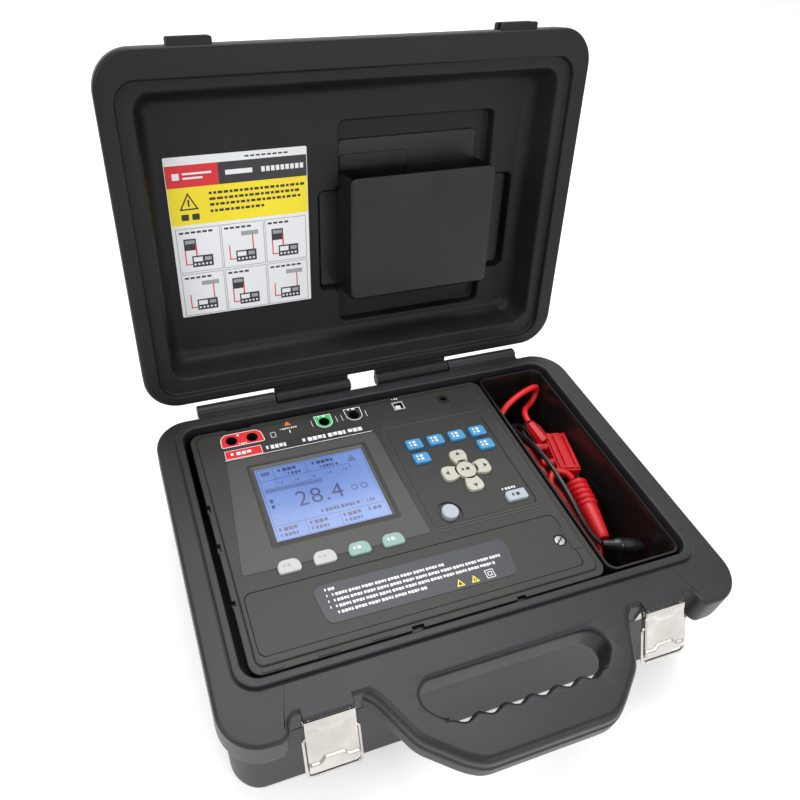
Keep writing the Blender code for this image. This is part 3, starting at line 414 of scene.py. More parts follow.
def shrunk(outline, by):
    """The outline moved inwards; a negative distance makes it larger."""
    points = []
    for i, point in enumerate(outline):
        here = Vector(point)
        before = (here - Vector(outline[i - 1])).normalized()
        after = (Vector(outline[(i + 1) % len(outline)]) - here).normalized()
        inward = Vector((-before.y - after.y, before.x + after.x)).normalized()
        inward /= max(0.5, math.cos(before.angle(after, 0) / 2))
        points.append((here.x + inward.x * by, here.y + inward.y * by))
    return points


def turned_by(outline, x, y, degrees):
    """An outline about the origin, turned and then moved to (x, y)."""
    c, s = math.cos(math.radians(degrees)), math.sin(math.radians(degrees))
    return [(x + px * c - py * s, y + px * s + py * c) for px, py in outline]


def arc(inset, z, radius, start, end, steps=5):
    """A quarter round in a profile: pairs of inset and height about a centre."""
    pairs = []
    for i in range(steps + 1):
        a = math.radians(start + (end - start) * i / steps)
        pairs.append((inset - radius * math.cos(a), z + radius * math.sin(a)))
    return pairs


print("a 10 mm square with 2 mm corners takes",
      len(rounded_rect(0, 10, 0, 10, 2)), "points")

# %% [markdown]
# ## Working in the modifiers
#
# A modifier is live: it is worked out again whenever its object changes. A finished
# piece has to be a plain mesh instead, because it rides a body. So
# `applied` asks Blender for the evaluated mesh once and clears the modifiers. `combine`
# uses it for cut-outs: the Boolean's exact solver gives clean edges where a panel is
# pierced, which would be tedious to draw by hand.


# %% Applied modifiers and cut-outs
def linked(name, data):
    """A new object with this mesh, curve or light, in the scene."""
    made = bpy.data.objects.new(name, data)
    bpy.context.scene.collection.objects.link(made)
    return made


def applied(obj):
    """The object with its modifiers worked into a plain mesh."""
    bpy.context.view_layer.update()
    graph = bpy.context.evaluated_depsgraph_get()
    mesh = bpy.data.meshes.new_from_object(obj.evaluated_get(graph))
    obj.modifiers.clear()
    obj.data = mesh
    return obj


def combine(obj, tool, operation="DIFFERENCE"):
    """Cut the tool out of the object, or join it on, and throw the tool away."""
    step = obj.modifiers.new("combine", "BOOLEAN")
    step.operation = operation
    step.solver = "EXACT"
    step.object = tool
    applied(obj)
    bpy.data.objects.remove(tool, do_unlink=True)
    return obj


# %% [markdown]
# ## Geometry Nodes for what follows a line
#
# Cables, wire bails, rivets, hinge barrels and ribbed grips are one idea: a round
# section carried along a line, thicker here and thinner there. A curve's bevel can do
# it too, but Geometry Nodes keep the rule in one tree that all of them share. A line of
# points becomes a curve, each point's own radius scales a circle, and Curve to Mesh
# sweeps the circle along. The tree has named inputs, and it ends in real faces that
# carry their material.


# %% Tree helpers
def start_tree(name, sizes):
    """A modifier tree with named inputs, and the node that hands them in."""
    tree = bpy.data.node_groups.new(name, "GeometryNodeTree")
    face = tree.interface
    face.new_socket(name="Points", in_out="INPUT", socket_type="NodeSocketGeometry")
    for label, kind, value in sizes:
        socket = face.new_socket(name=label, in_out="INPUT", socket_type=kind)
        socket.default_value = value
    face.new_socket(name="Material", in_out="INPUT", socket_type="NodeSocketMaterial")
    face.new_socket(name="Mesh", in_out="OUTPUT", socket_type="NodeSocketGeometry")
    return tree, tree.nodes.new("NodeGroupInput")


def end_tree(tree, given, made):
    """The last steps of every tree: real faces, then their material."""
    real = tree.nodes.new("GeometryNodeRealizeInstances")
    coated = tree.nodes.new("GeometryNodeSetMaterial")
    result = tree.nodes.new("NodeGroupOutput")
    tree.links.new(made, real.inputs["Geometry"])
    tree.links.new(real.outputs["Geometry"], coated.inputs["Geometry"])
    tree.links.new(given.outputs["Material"], coated.inputs["Material"])
    tree.links.new(coated.outputs["Geometry"], result.inputs["Mesh"])
    print(tree.name, "tree has", len(tree.nodes), "nodes")
    return tree


def grown(tree, mesh, **sizes):
    """The plain mesh that the tree makes from the given points and sizes."""
    carrier = linked("carrier", mesh)
    step = carrier.modifiers.new("grow", "NODES")
    step.node_group = tree
    for socket in tree.interface.items_tree:
        label = socket.name.lower()
        if socket.in_out == "INPUT" and label in sizes:
            step[socket.identifier] = sizes[label]
    made = applied(carrier).data
    bpy.data.objects.remove(carrier, do_unlink=True)
    bpy.data.meshes.remove(mesh)
    return made


# %% Round bar tree
def round_bar_tree():
    tree, given = start_tree("round_bar", (("Sides", "NodeSocketInt", 16),
                                           ("Thickness", "NodeSocketFloat", 1.0)))
    nodes, links = tree.nodes, tree.links
    line = nodes.new("GeometryNodeMeshToCurve")
    own = nodes.new("GeometryNodeInputNamedAttribute")
    own.data_type = "FLOAT"
    own.inputs["Name"].default_value = "bar_radius"
    section = nodes.new("GeometryNodeCurvePrimitiveCircle")
    swept = nodes.new("GeometryNodeCurveToMesh")
    swept.inputs["Fill Caps"].default_value = True
    links.new(given.outputs["Points"], line.inputs["Mesh"])
    links.new(given.outputs["Sides"], section.inputs["Resolution"])
    links.new(given.outputs["Thickness"], section.inputs["Radius"])
    links.new(line.outputs["Curve"], swept.inputs["Curve"])
    links.new(own.outputs["Attribute"], swept.inputs["Scale"])
    links.new(section.outputs["Curve"], swept.inputs["Profile Curve"])
    return end_tree(tree, given, swept.outputs["Mesh"])


ROUND_BAR = round_bar_tree()


def round_bar(path, radii, sides, material):
    """A mesh of the round bar through these points, in metres."""
    line = bpy.data.meshes.new("line")
    links = [(i, i + 1) for i in range(len(path) - 1)]
    line.from_pydata([Vector(p) * MM for p in path], links, [])
    own = line.attributes.new("bar_radius", "FLOAT", "POINT")
    own.data.foreach_set("value", [r * MM for r in radii])
    return grown(ROUND_BAR, line, sides=sides, material=material)


# %% [markdown]
# ## Geometry Nodes for what repeats
#
# No real wording is copied on to the panel, so a line of print is a row of small
# blocks that reads as words from a distance. The blocks could be drawn in a Python
# loop. The tree below holds the same rule where it can be played with: blocks stand a
# pitch apart, every fourth one is short like the end of a word, and every third one
# sits a little higher, as letters without a tail do.


# %% Line of print tree
def line_of_print_tree():
    tree, given = start_tree("line_of_print", (
        ("Count", "NodeSocketInt", 5), ("Pitch", "NodeSocketFloat", 3.0 * MM),
        ("Height", "NodeSocketFloat", 2.0 * MM), ("Fill", "NodeSocketFloat", 0.7)))
    nodes, links = tree.nodes, tree.links
    pitch, height = given.outputs["Pitch"], given.outputs["Height"]
    index = nodes.new("GeometryNodeInputIndex").outputs["Index"]

    def every(number):
        """1 on every third or fourth block and 0 on the others."""
        return calculate(tree, "LESS_THAN", calculate(tree, "MODULO", index, number), 0.5)

    full = calculate(tree, "MULTIPLY", pitch, given.outputs["Fill"])
    short = calculate(tree, "SUBTRACT", 1.0, calculate(tree, "MULTIPLY", every(4), 0.4))
    width = calculate(tree, "MULTIPLY", full, short)
    lift = calculate(tree, "MULTIPLY", calculate(tree, "MULTIPLY", height, 0.15), every(3))
    tall = calculate(tree, "SUBTRACT", height, lift)
    x = calculate(tree, "ADD", calculate(tree, "MULTIPLY", index, pitch),
                  calculate(tree, "MULTIPLY", width, 0.5))
    y = calculate(tree, "ADD", lift, calculate(tree, "MULTIPLY", tall, 0.5))

    row = nodes.new("GeometryNodeMeshLine")
    spot = nodes.new("ShaderNodeCombineXYZ")
    moved = nodes.new("GeometryNodeSetPosition")
    block = nodes.new("GeometryNodeMeshGrid")
    block.inputs["Vertices X"].default_value = 2
    block.inputs["Vertices Y"].default_value = 2
    size = nodes.new("ShaderNodeCombineXYZ")
    size.inputs["Z"].default_value = 1.0
    spread = nodes.new("GeometryNodeInstanceOnPoints")
    links.new(given.outputs["Count"], row.inputs["Count"])
    links.new(row.outputs["Mesh"], moved.inputs["Geometry"])
    for name, place, scale in (("X", x, width), ("Y", y, tall)):
        links.new(place, spot.inputs[name])
        links.new(scale, size.inputs[name])
    links.new(spot.outputs["Vector"], moved.inputs["Position"])
    links.new(moved.outputs["Geometry"], spread.inputs["Points"])
    links.new(block.outputs["Mesh"], spread.inputs["Instance"])
    links.new(size.outputs["Vector"], spread.inputs["Scale"])
    return end_tree(tree, given, spread.outputs["Instances"])


LINE_OF_PRINT = line_of_print_tree()

# %% [markdown]
# ## Shape
#
# A `Shape` gathers rings of points into one mesh. Primitives and extrusions by hand
# would work too, but a moulded part is easier to read as a stack of outlines with
# heights: `loft` joins each ring to the next, so the list of rings is a section through
# the mould. Rings run anticlockwise, so a stack from bottom to top faces outwards. The
# first material given is slot 0, the next slot 1, and so on.


# %% Shape
class Shape:
    def __init__(self, *materials):
        self.bm = bmesh.new()
        self.materials = materials

    def ring(self, outline, z):
        return [self.bm.verts.new((x * MM, y * MM, z * MM)) for x, y in outline]

    def add(self, mesh, slot=0):
        """Take in the faces of another mesh, which is used up."""
        before = len(self.bm.faces)
        self.bm.from_mesh(mesh)
        for face in list(self.bm.faces)[before:]:
            face.material_index = slot
        bpy.data.meshes.remove(mesh)

    def points(self, points):
        return [self.bm.verts.new(Vector(p) * MM) for p in points]

    def bridge(self, low, high, slot=0, closed=True):
        count = len(low)
        for i in range(count if closed else count - 1):
            j = (i + 1) % count
            face = self.bm.faces.new((low[i], low[j], high[j], high[i]))
            face.material_index = slot

    def cap(self, loop, slot=0, flip=False):
        face = self.bm.faces.new(list(reversed(loop)) if flip else loop)
        face.material_index = slot
        return face

    def loft(self, rings, slot=0, bottom=True, top=True):
        """Rings of (outline, z); returns the first and last loop."""
        loops = [self.ring(outline, z) for outline, z in rings]
        for low, high in zip(loops, loops[1:]):
            self.bridge(low, high, slot)
        if bottom:
            self.cap(loops[0], slot, True)
        if top:
            self.cap(loops[-1], slot)
        return loops[0], loops[-1]

    def fill_between(self, outer, inner, slot=0):
        """A flat face with a hole in it."""
        edges = []
        for loop in (outer, inner):
            for i, vert in enumerate(loop):
                other = loop[(i + 1) % len(loop)]
                edge = self.bm.edges.get((vert, other))
                edges.append(edge or self.bm.edges.new((vert, other)))
        made = bmesh.ops.triangle_fill(self.bm, use_beauty=True, edges=edges)
        for item in made["geom"]:
            if isinstance(item, bmesh.types.BMFace):
                item.material_index = slot

    def pad(self, outline, z0, z1, edge=0.6, slot=0, steps=3):
        """A block with its top edge rounded."""
        rings = [(outline, z0)]
        for inset, z in arc(edge, z1 - edge, edge, 0, 90, steps):
            rings.append((shrunk(outline, inset), z))
        return self.loft(rings, slot)

    def flat(self, outline, z, slot=0):
        return self.cap(self.ring(outline, z), slot)

    def frame(self, outline, width, z, slot=0):
        """A flat outline of the given width."""
        self.bridge(self.ring(outline, z), self.ring(shrunk(outline, width), z), slot)

    def bars(self, x0, x1, y, height, z, slot=0, pitch=3.0, fill=0.7):
        """A row of small blocks that stands for a line of print."""
        row = grown(LINE_OF_PRINT, bpy.data.meshes.new("row"),
                    count=max(1, int((x1 - x0) / pitch)), pitch=pitch * MM,
                    height=height * MM, fill=fill, material=self.materials[slot])
        row.transform(Matrix.Translation(Vector((x0, y, z)) * MM))
        self.add(row, slot)

    def bar(self, path, radii, sides, slot=0):
        """A round bar along points, with one radius or one for each point."""
        if not isinstance(radii, list):
            radii = [radii] * len(path)
        self.add(round_bar(path, radii, sides, self.materials[slot]), slot)

    def place(self, matrix):
        bmesh.ops.transform(self.bm, matrix=matrix, verts=self.bm.verts)

    def build(self, name, recalc=True):
        if recalc:
            bmesh.ops.recalc_face_normals(self.bm, faces=self.bm.faces)
        mesh = bpy.data.meshes.new(name)
        self.bm.to_mesh(mesh)
        self.bm.free()
        for material in self.materials:
            mesh.materials.append(material)
        return linked(name, mesh)


# %% [markdown]
# ## A finished piece
#
# Every piece ends the same way. It is shaded smooth with sharp edges kept, its normals
# are weighted so that large faces stay flat, and it rides on the body that carries it.
# It also names the plain nodes of the model that it stands for.


# %% Finished piece
def finished(obj, body, slot, *nodes, sharp=38):
    """Smooth the piece, put it on its body and let it stand for its nodes."""
    obj.data.shade_smooth()
    obj.data.set_sharp_from_angle(angle=math.radians(sharp))
    even = obj.modifiers.new("even_normals", "WEIGHTED_NORMAL")
    even.keep_sharp = True
    applied(obj)
    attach(obj, body)
    if nodes:
        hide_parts(*nodes)
    wide, deep, high = (round(size / MM, 1) for size in obj.dimensions)
    print(f"{obj.name}: {wide} x {deep} x {high} mm, {len(obj.data.polygons)} faces")
    return obj


# %% [markdown]
# ## Test leads
#
# Each lead is one soft cable. The red one leaves its two-pin plug's boot, turns in the
# back corner of the bin, is wound flat under everything else and ends in its clip. A
# cloth or soft-body simulation could drop a cable into the bin, but never twice in the
# same way. A listed route is exact: chosen points where the cable runs free, and
# a loop for the wound turns, with a smooth spline through all of them.


# %% Lead routes
FINE_STEPS = 24
TURN_STEPS = 48
CABLE_STEP = 4.0
RED_DIAMETER = 6.0
BLACK_DIAMETER = 4.5


def smooth(points, step):
    """Evenly spaced points on the smooth curve through all the given ones."""
    knots = [Vector(p) for p in points]
    knots = [2 * knots[0] - knots[1], *knots, 2 * knots[-1] - knots[-2]]
    fine = []
    for a, b, c, d in zip(knots, knots[1:], knots[2:], knots[3:]):
        for i in range(FINE_STEPS):
            t = i / FINE_STEPS
            fine.append(0.5 * (2 * b + (c - a) * t + (2 * a - 5 * b + 4 * c - d) * t**2
                               + (3 * b - a - 3 * c + d) * t**3))
    fine.append(knots[-2])
    total = sum((q - p).length for p, q in zip(fine, fine[1:]))
    count = max(2, round(total / step))
    spaced = [fine[0]]
    walked = 0.0
    for p, q in zip(fine, fine[1:]):
        walked += (q - p).length
        if walked >= total * len(spaced) / count and len(spaced) < count:
            spaced.append(q)
    spaced.append(fine[-1])
    return spaced


def hank(x, y, straight, radius, top, foot, turns):
    """Flat oval turns going down, from the left side's middle."""
    points = []
    around = 2 * straight + 2 * math.pi * radius
    count = int(turns * TURN_STEPS)
    half = straight / 2
    bend = math.pi * radius
    for i in range(count + 1):
        gone = (turns * around) * i / count
        s = gone % around
        z = top + (foot - top) * i / count
        if s < half:
            p = (x - radius, y - s)
        elif s < half + bend:
            a = math.pi + (s - half) / radius
            p = (x + radius * math.cos(a), y - half + radius * math.sin(a))
        elif s < half + bend + straight:
            p = (x + radius, y - 2 * half + s - bend)
        elif s < half + 2 * bend + straight:
            a = (s - half - bend - straight) / radius
            p = (x + radius * math.cos(a), y + half + radius * math.sin(a))
        else:
            p = (x - radius, y + around - s)
        points.append((*p, z))
    return points


RED_TOP = [
    (153.4, 81.2, 84.4), (153.4, 88.0, 85.6), (156.5, 95.0, 85.4), (163.0, 101.5, 82.8),
    (171.0, 107.0, 80.4), (178.0, 111.8, 83.0), (180.6, 114.8, 90.5), (176.5, 113.6, 98.2),
    (167.0, 110.2, 101.4), (155.0, 106.8, 100.6), (143.0, 103.0, 97.0),
    (132.5, 98.5, 90.5), (126.2, 92.0, 83.0), (123.2, 80.0, 75.5), (122.2, 64.0, 68.5),
    (121.9, 46.0, 64.2), (121.9, 26.0, 62.8),
]
RED_RISE = [
    (121.9, -8.0, 13.6), (121.9, -28.0, 13.8), (123.0, -42.0, 15.2), (128.0, -51.5, 18.2),
    (136.0, -53.0, 22.0), (142.5, -46.5, 26.0), (144.3, -36.0, 30.0), (144.2, -24.5, 35.0),
    (143.2, -14.5, 43.0), (141.0, -10.5, 54.0), (137.5, -10.5, 65.0), (134.0, -6.5, 74.5),
    (133.3, 2.5, 80.5), (136.5, 11.0, 83.6), (143.5, 15.4, 84.6), (151.0, 14.8, 84.0),
    (156.3, 10.6, 82.4), (158.4, 5.5, 80.6),
]
BLACK_TOP = [
    (141.4, -65.2, 81.5), (135.6, -56.0, 86.0), (132.6, -42.0, 92.0), (132.0, -22.0, 97.5),
    (132.4, 0.0, 99.8), (132.8, 20.0, 99.8), (132.8, 40.0, 97.0), (132.6, 58.0, 91.5),
    (133.8, 74.0, 84.5), (140.0, 86.0, 77.0), (151.0, 88.0, 72.0),
    (157.4, 80.0, 68.5), (158.2, 68.0, 65.5), (158.1, 54.0, 63.8),
]
BLACK_FOOT = [
    (158.2, 25.0, 13.2), (158.6, 8.0, 13.0), (160.0, -6.0, 13.0), (162.6, -18.4, 13.2),
    (163.6, -25.0, 14.0), (165.0, -31.0, 15.0), (166.1, -36.4, 15.8),
]
red_hank = hank(136.8, 3.0, straight=120.0, radius=14.9, top=62.6, foot=13.6, turns=8)
red_path = smooth(RED_TOP + red_hank[1:-1] + RED_RISE, CABLE_STEP)
black_hank = hank(169.0, 42.0, straight=90.0, radius=10.9, top=63.4, foot=13.2, turns=10)
black_path = smooth(BLACK_TOP + black_hank[1:-1] + BLACK_FOOT, CABLE_STEP)


def length_of(path):
    return sum((b - a).length for a, b in zip(path, path[1:])) * MM


print("red lead", round(length_of(red_path), 3), "m; black lead",
      round(length_of(black_path), 3), "m")


# %% [markdown]
# ### Cables
#
# The jackets are plain round silicone, so each cable is the round bar tree along its
# route. Fourteen sides are enough for a 6 mm cable that is seen from arm's length.


# %% Cables
CABLE_SIDES = 14


def cable(name, path, diameter, material, slot, nodes):
    shape = Shape(material)
    shape.bar(path, diameter / 2, CABLE_SIDES)
    return finished(shape.build(name), "case", slot, *nodes, sharp=60)


red_cable = cable("red_test_lead", red_path, RED_DIAMETER, RED, "red_rubber",
                  ("red_lead_cable", "red_lead_coil", "red_lead_tail"))
black_cable = cable("black_test_lead", black_path, BLACK_DIAMETER, LEAD_BLACK,
                    "black_rubber",
                    ("black_lead_cable", "black_lead_coil", "black_lead_end"))

# %% [markdown]
# ### Clips, plugs and boot
#
# The clips, the black plug and the cable boot are turned parts: a straight line with a
# radius that rises and falls. That is the round bar tree again, drawn along Z and then
# laid on the line from one end to the other. The red grip has five soft folds, each one
# a half wave, so that it can be squeezed.


# %% Lead ends
def along(start, end):
    """A matrix that lays local Z on the line from start to end."""
    a, b = Vector(start) * MM, Vector(end) * MM
    way = (b - a).normalized()
    return Matrix.Translation(a) @ way.to_track_quat("Z", "Y").to_matrix().to_4x4()


def turned_piece(name, profile, start, end, material, sides=32):
    """A round piece with its outline given as (distance, radius)."""
    shape = Shape(material)
    shape.bar([(0, 0, d) for d, _ in profile], [r for _, r in profile], sides)
    shape.place(along(start, end))
    return shape.build(name)


FOLDS, FOLD_STEPS, FOLD_PITCH = 5, 8, 5.6


def bellows():
    """Soft folds of a grip, then its long smooth nose."""
    profile = [(0.0, 3.6), (0.4, 5.2), (1.2, 7.6)]
    for i in range(FOLDS * FOLD_STEPS + 1):
        t = i / FOLD_STEPS
        swell = 2.2 * abs(math.sin(math.pi * t)) ** 0.7
        profile.append((1.6 + FOLD_PITCH * t, 8.5 + swell))
    profile += [(31.0, 8.6), (34.0, 8.7), (40.0, 8.2), (50.0, 7.2), (60.0, 6.1),
                (62.8, 5.4), (63.9, 3.8)]
    return profile


red_clip = turned_piece("red_clip_grip", bellows(), (158.5, 2.0, 80.4),
                        (149.5, -61.5, 77.5), RED_DARK, sides=40)
finished(red_clip, "case", "red_rubber", "red_lead_clip", sharp=60)


# %% [markdown]
# ### Two-pin plug
#
# The red lead ends in a flat moulded plug with raised bars on its face and two shrouded
# pins side by side. Its body is one loft, the bars are low pads on it, and each pin is a
# round bar with a groove.


# %% Two-pin plug
PLUG_PLACE = (167.5, 38.5, 76.5)
PLUG_TURN = -12.5


def block(x0, x1, y0, y1):
    return [(x0, y0), (x1, y0), (x1, y1), (x0, y1)]


def flat_plug():
    shape = Shape(RED_DARK)
    outline = rounded(block(-11.5, 11.5, -24.5, 24.5), 2.4, 4)
    shape.loft([(shrunk(outline, inset), z) for inset, z in
                ((1.2, -7.5), (0.3, -7.1), (0.0, -6.2), (0.0, 3.6), (0.5, 4.8), (1.4, 5.3))])
    for x, half in ((-8.2, 1.7), (0.0, 3.6), (8.2, 1.7)):
        shape.pad(rounded(block(x - half, x + half, -22.6, 22.6), 0.6, 2), 5.0, 7.5, 0.6)
    for y in (-20.4, 20.4):
        shape.pad(rounded(block(-9.6, 9.6, y - 1.9, y + 1.9), 0.6, 2), 5.0, 6.6, 0.6)
    for y in (-10.0, 10.0):
        pin = ((0, 4.0), (6, 4.0), (6.2, 3.7), (6.8, 3.7), (7.0, 4.0), (13.0, 4.0),
               (14.2, 3.2))
        shape.bar([(-9.6 - d, y, 0.5) for d, _ in pin], [r for _, r in pin], 24)
    spin = Matrix.Rotation(math.radians(PLUG_TURN), 4, "Z")
    shape.place(Matrix.Translation(Vector(PLUG_PLACE) * MM) @ spin)
    return shape.build("red_two_pin_plug")


red_plug = finished(flat_plug(), "case", "red_rubber", "red_lead_plug")

# %% Boot, black clip and black plug
red_boot = turned_piece(
    "red_cable_boot",
    [(0.0, 6.2), (0.8, 7.0), (9.0, 6.7), (18.0, 5.9), (23.6, 5.0), (24.4, 3.6)],
    (158.9, 56.6, 77.8), (153.4, 80.9, 84.0), RED_DARK, sides=8)
finished(red_boot, "case", "red_rubber", "red_lead_boot", sharp=25)
black_clip = turned_piece(
    "black_clip_grip",
    [(0.0, 2.4), (0.8, 3.3), (9.0, 4.5), (12.0, 5.4), (15.0, 6.6), (16.0, 6.0),
     (17.0, 6.9), (18.5, 6.3), (20.0, 7.0), (21.5, 6.4), (23.0, 7.0), (30.0, 6.9),
     (37.0, 4.6), (40.0, 3.2), (40.9, 2.0)],
    (142.4, -66.3, 81.2), (178.0, -77.0, 77.0), LEAD_BLACK)
finished(black_clip, "case", "black_rubber", "black_lead_clip", sharp=60)
black_plug = turned_piece(
    "black_plug_barrel",
    [(0.0, 3.0), (0.6, 3.6), (6.0, 5.1), (10.0, 5.2), (11.0, 4.7), (12.0, 5.2),
     (13.5, 4.7), (15.0, 5.2), (33.0, 5.2), (34.5, 4.3), (45.4, 4.2), (46.0, 3.6)],
    (166.2, -36.9, 15.9), (170.5, -84.0, 15.9), LEAD_BLACK)
finished(black_plug, "case", "black_rubber", "black_lead_plug")

# %% [markdown]

# %% [markdown]
# ## Case base
#
# One skin runs from the bottom, up the sides, round the bumper band, over the rim and
# its raised bead, and down into the cavity. The bumper is cut back between its two
# front corners to make room for the latches and the handle. Cutting it with a Boolean
# would leave hard edges, so the outline itself carries the notch: `reach` says how far
# the front corners stand out, from 0 under the band to 1 at the band.

# %% Base outline
BASE_H = 108.0
HALF_WIDTH, BACK_Y, CORNER = 215.0, 152.0, 31.0
WALL_Y = -136.5
NOTCH_X = 169.0
NOTCH_DEPTH = 15.5
NOTCH_ROUND = 7.5


def front_half(inset):
    """Right half of the bumper's front edge: (x, how far out from 0 to 1)."""
    inner, outer = NOTCH_ROUND + inset, max(0.6, NOTCH_ROUND - inset)
    side = NOTCH_X + inset
    corner = HALF_WIDTH - CORNER
    points = [((side - inner) * i / 12, 0.0) for i in range(12)]
    for i in range(7):
        a = math.radians(90 - 15 * i)
        x = side - inner + inner * math.cos(a)
        points.append((x, (inner - inner * math.sin(a)) / NOTCH_DEPTH))
    for i in range(7):
        a = math.radians(180 + 15 * i)
        x = side + outer + outer * math.cos(a)
        points.append((x, (NOTCH_DEPTH - outer - outer * math.sin(a)) / NOTCH_DEPTH))
    last = points[-1][0]
    points += [(last + (corner - last) * t, 1.0) for t in (0.5, 1.0)]
    return points


def case_ring(inset, reach=1.0, wall=WALL_Y, half=HALF_WIDTH, back=BACK_Y,
              radius=CORNER):
    """An outline of the base; reach 0 leaves the bumper's front corners out."""
    w, yb, yw = half - inset, back - inset, wall + inset
    r = max(1.0, radius - inset)
    front = [(x * (w - r) / (HALF_WIDTH - CORNER), yw - NOTCH_DEPTH * reach * d)
             for x, d in front_half(inset if reach else 0.0)]
    yf = front[-1][1]
    corner = []
    for x, y, start in ((w - r, yf + r, -90), (w - r, yb - r, 0)):
        for i in range(13):
            a = math.radians(start + 7.5 * i)
            corner.append((x + r * math.cos(a), y + r * math.sin(a)))
    del corner[0]
    half_ring = front + corner
    mirrored = [(-x, y) for x, y in reversed(half_ring) if x > 0.01]
    return half_ring + mirrored


print("the base outline at the bumper has", len(case_ring(0)), "points")


# %% Base skin
def base_skin():
    shape = Shape(CASE)
    rings = [(case_ring(16, 0, -148), 0.0), (case_ring(12, 0, -152), 0.3)]
    rings += [(case_ring(i, 0, -144 - i), z) for i, z in ((10, 1.4), (8.6, 2.8), (8, 4.5))]
    for i in range(1, 9):
        t = i / 8
        front = -144.0 + 7.2 * t
        rings.append((case_ring(8 - 3 * t, 0, front - (8 - 3 * t)), 4.5 + 73 * t))
    # The bumper band
    rings.append((case_ring(5.2, 0, WALL_Y - 5.4), 78.2))
    rings.append((case_ring(5.0, 0.1, WALL_Y - 5.0), 78.8))
    rings.append((case_ring(4.2, 0.9, WALL_Y - 4.2), 79.0))
    for inset, z in arc(4.4, 83.4, 4.4, -90, 0, 5):
        rings.append((case_ring(inset, 1.0, WALL_Y - inset * 0.9), z))
    for inset, z in arc(3.2, BASE_H - 3.2, 3.2, 0, 90, 6):
        rings.append((case_ring(inset), z))
    # The bead that seals against the lid
    bead = dict(wall=-113.5, half=197.0, back=140.1, radius=18.0)
    rings.append((case_ring(-2.2, 0, **bead), BASE_H))
    rings.append((case_ring(-1.2, 0, **bead), BASE_H - 0.7))
    rings.append((case_ring(-0.2, 0, **bead), BASE_H - 0.6))
    rings += [(case_ring(i, 0, **bead), z) for i, z in arc(1.3, 109.7, 1.3, 0, 90, 4)]
    # The mouth and the cavity
    mouth = dict(wall=-107.0, half=190.5, back=136.5, radius=14.0)
    rings += [(case_ring(i, 0, **mouth), z)
              for i, z in ((-1.4, 111.0), (-0.6, 110.7), (-0.1, 110.0), (0, 109.0),
                           (0.2, 60.0), (0.4, 9.0), (1.6, 6.0), (4.5, 5.0))]
    shape.loft(rings)
    return shape


# %% [markdown]
# ### Hinge knuckles
#
# Case and lid share one steel pin at each side. The barrels round it are moulded with
# the skins and lie side by side: the base has the two outer ones and the lid the two
# inner ones. They could be Cylinder primitives, but their softened ends and the flat
# arm would still be drawn by hand. So a barrel is a round bar and the arm a short loft.


# %% Hinge knuckle
HINGE_Y, HINGE_Z = 160.5, 105.8
BARREL = 6.5
BASE_ARM = ((146, 100.5), (158, 99.6), (160, 100), (160, 107.2), (158, 107.6),
            (146, 107.6))
LID_ARM = ((146, 108.8), (160, 108.8), (161.5, 111.0), (160, 112.1), (158, 112.3),
           (146, 112.3))


def knuckle(shape, x0, x1, arm):
    """A hinge barrel with softened ends and the arm that carries it."""
    stations = ((x0, 0.88), (x0 + 0.8, 1.0), (x1 - 0.8, 1.0), (x1, 0.88))
    shape.bar([(x, HINGE_Y, HINGE_Z) for x, _ in stations],
              [BARREL * size for _, size in stations], 28)
    ends = [shape.points([(x, y, z) for y, z in arm]) for x in (x0 + 0.6, x1 - 0.6)]
    shape.bridge(*ends)
    shape.cap(ends[0], flip=True)
    shape.cap(ends[1])


# %% Case shell
LATCH_X = 140.0

base = base_skin()
for x0, x1 in ((-171.0, -94.3), (93.3, 173.0)):
    knuckle(base, x0, x1, BASE_ARM)
for x in (-LATCH_X, LATCH_X):
    tab = rounded(block(x - 19, x + 19, -141.9, -130), 1.5, 3)
    base.pad(tab, 105.6, BASE_H + 0.04, 0.7)
finished(base.build("case_shell"), "case", "case_plastic", "case_base", sharp=50)


# %% [markdown]
# ### Carrying handle
#
# A flat loop hangs in front of the case between the latches, with six waves moulded
# along the inside of the grip for the fingers. A swept tube would give a round rope,
# but this handle is a slab with rounded rims. So it is an outer skin and an inner skin,
# each a stack of rings, joined by flat faces at the top and bottom. The waves are one
# cosine along the inner outline.


# %% Carrying handle
WAVE_STEPS = 48
WAVE_LENGTH = 20.7


def handle_ring(inset):
    half = [(118, -128), (114, -136), (106, -143.5), (89, -178), (62, -200), (50, -206)]
    right_side = [(x, y) for x, y in reversed(half)]
    left_side = [(-x, y) for x, y in half]
    return rounded(shrunk(right_side + left_side, inset), 7.0, 5)


def finger_ring(inset):
    """The finger gap; a positive inset makes it larger."""
    wave = []
    for i in range(WAVE_STEPS + 1):
        x = WAVE_LENGTH * (6 * i / WAVE_STEPS - 3)
        wave.append((x, -170.8 - 2.0 * (1 - math.cos(2 * math.pi * x / WAVE_LENGTH))))
    corners = [(66, -169), (76, -158), (76, -149), (68, -141.5)]
    corners += [(-x, y) for x, y in reversed(corners)]
    return shrunk(wave + rounded(corners, 5.0, 4), -inset)


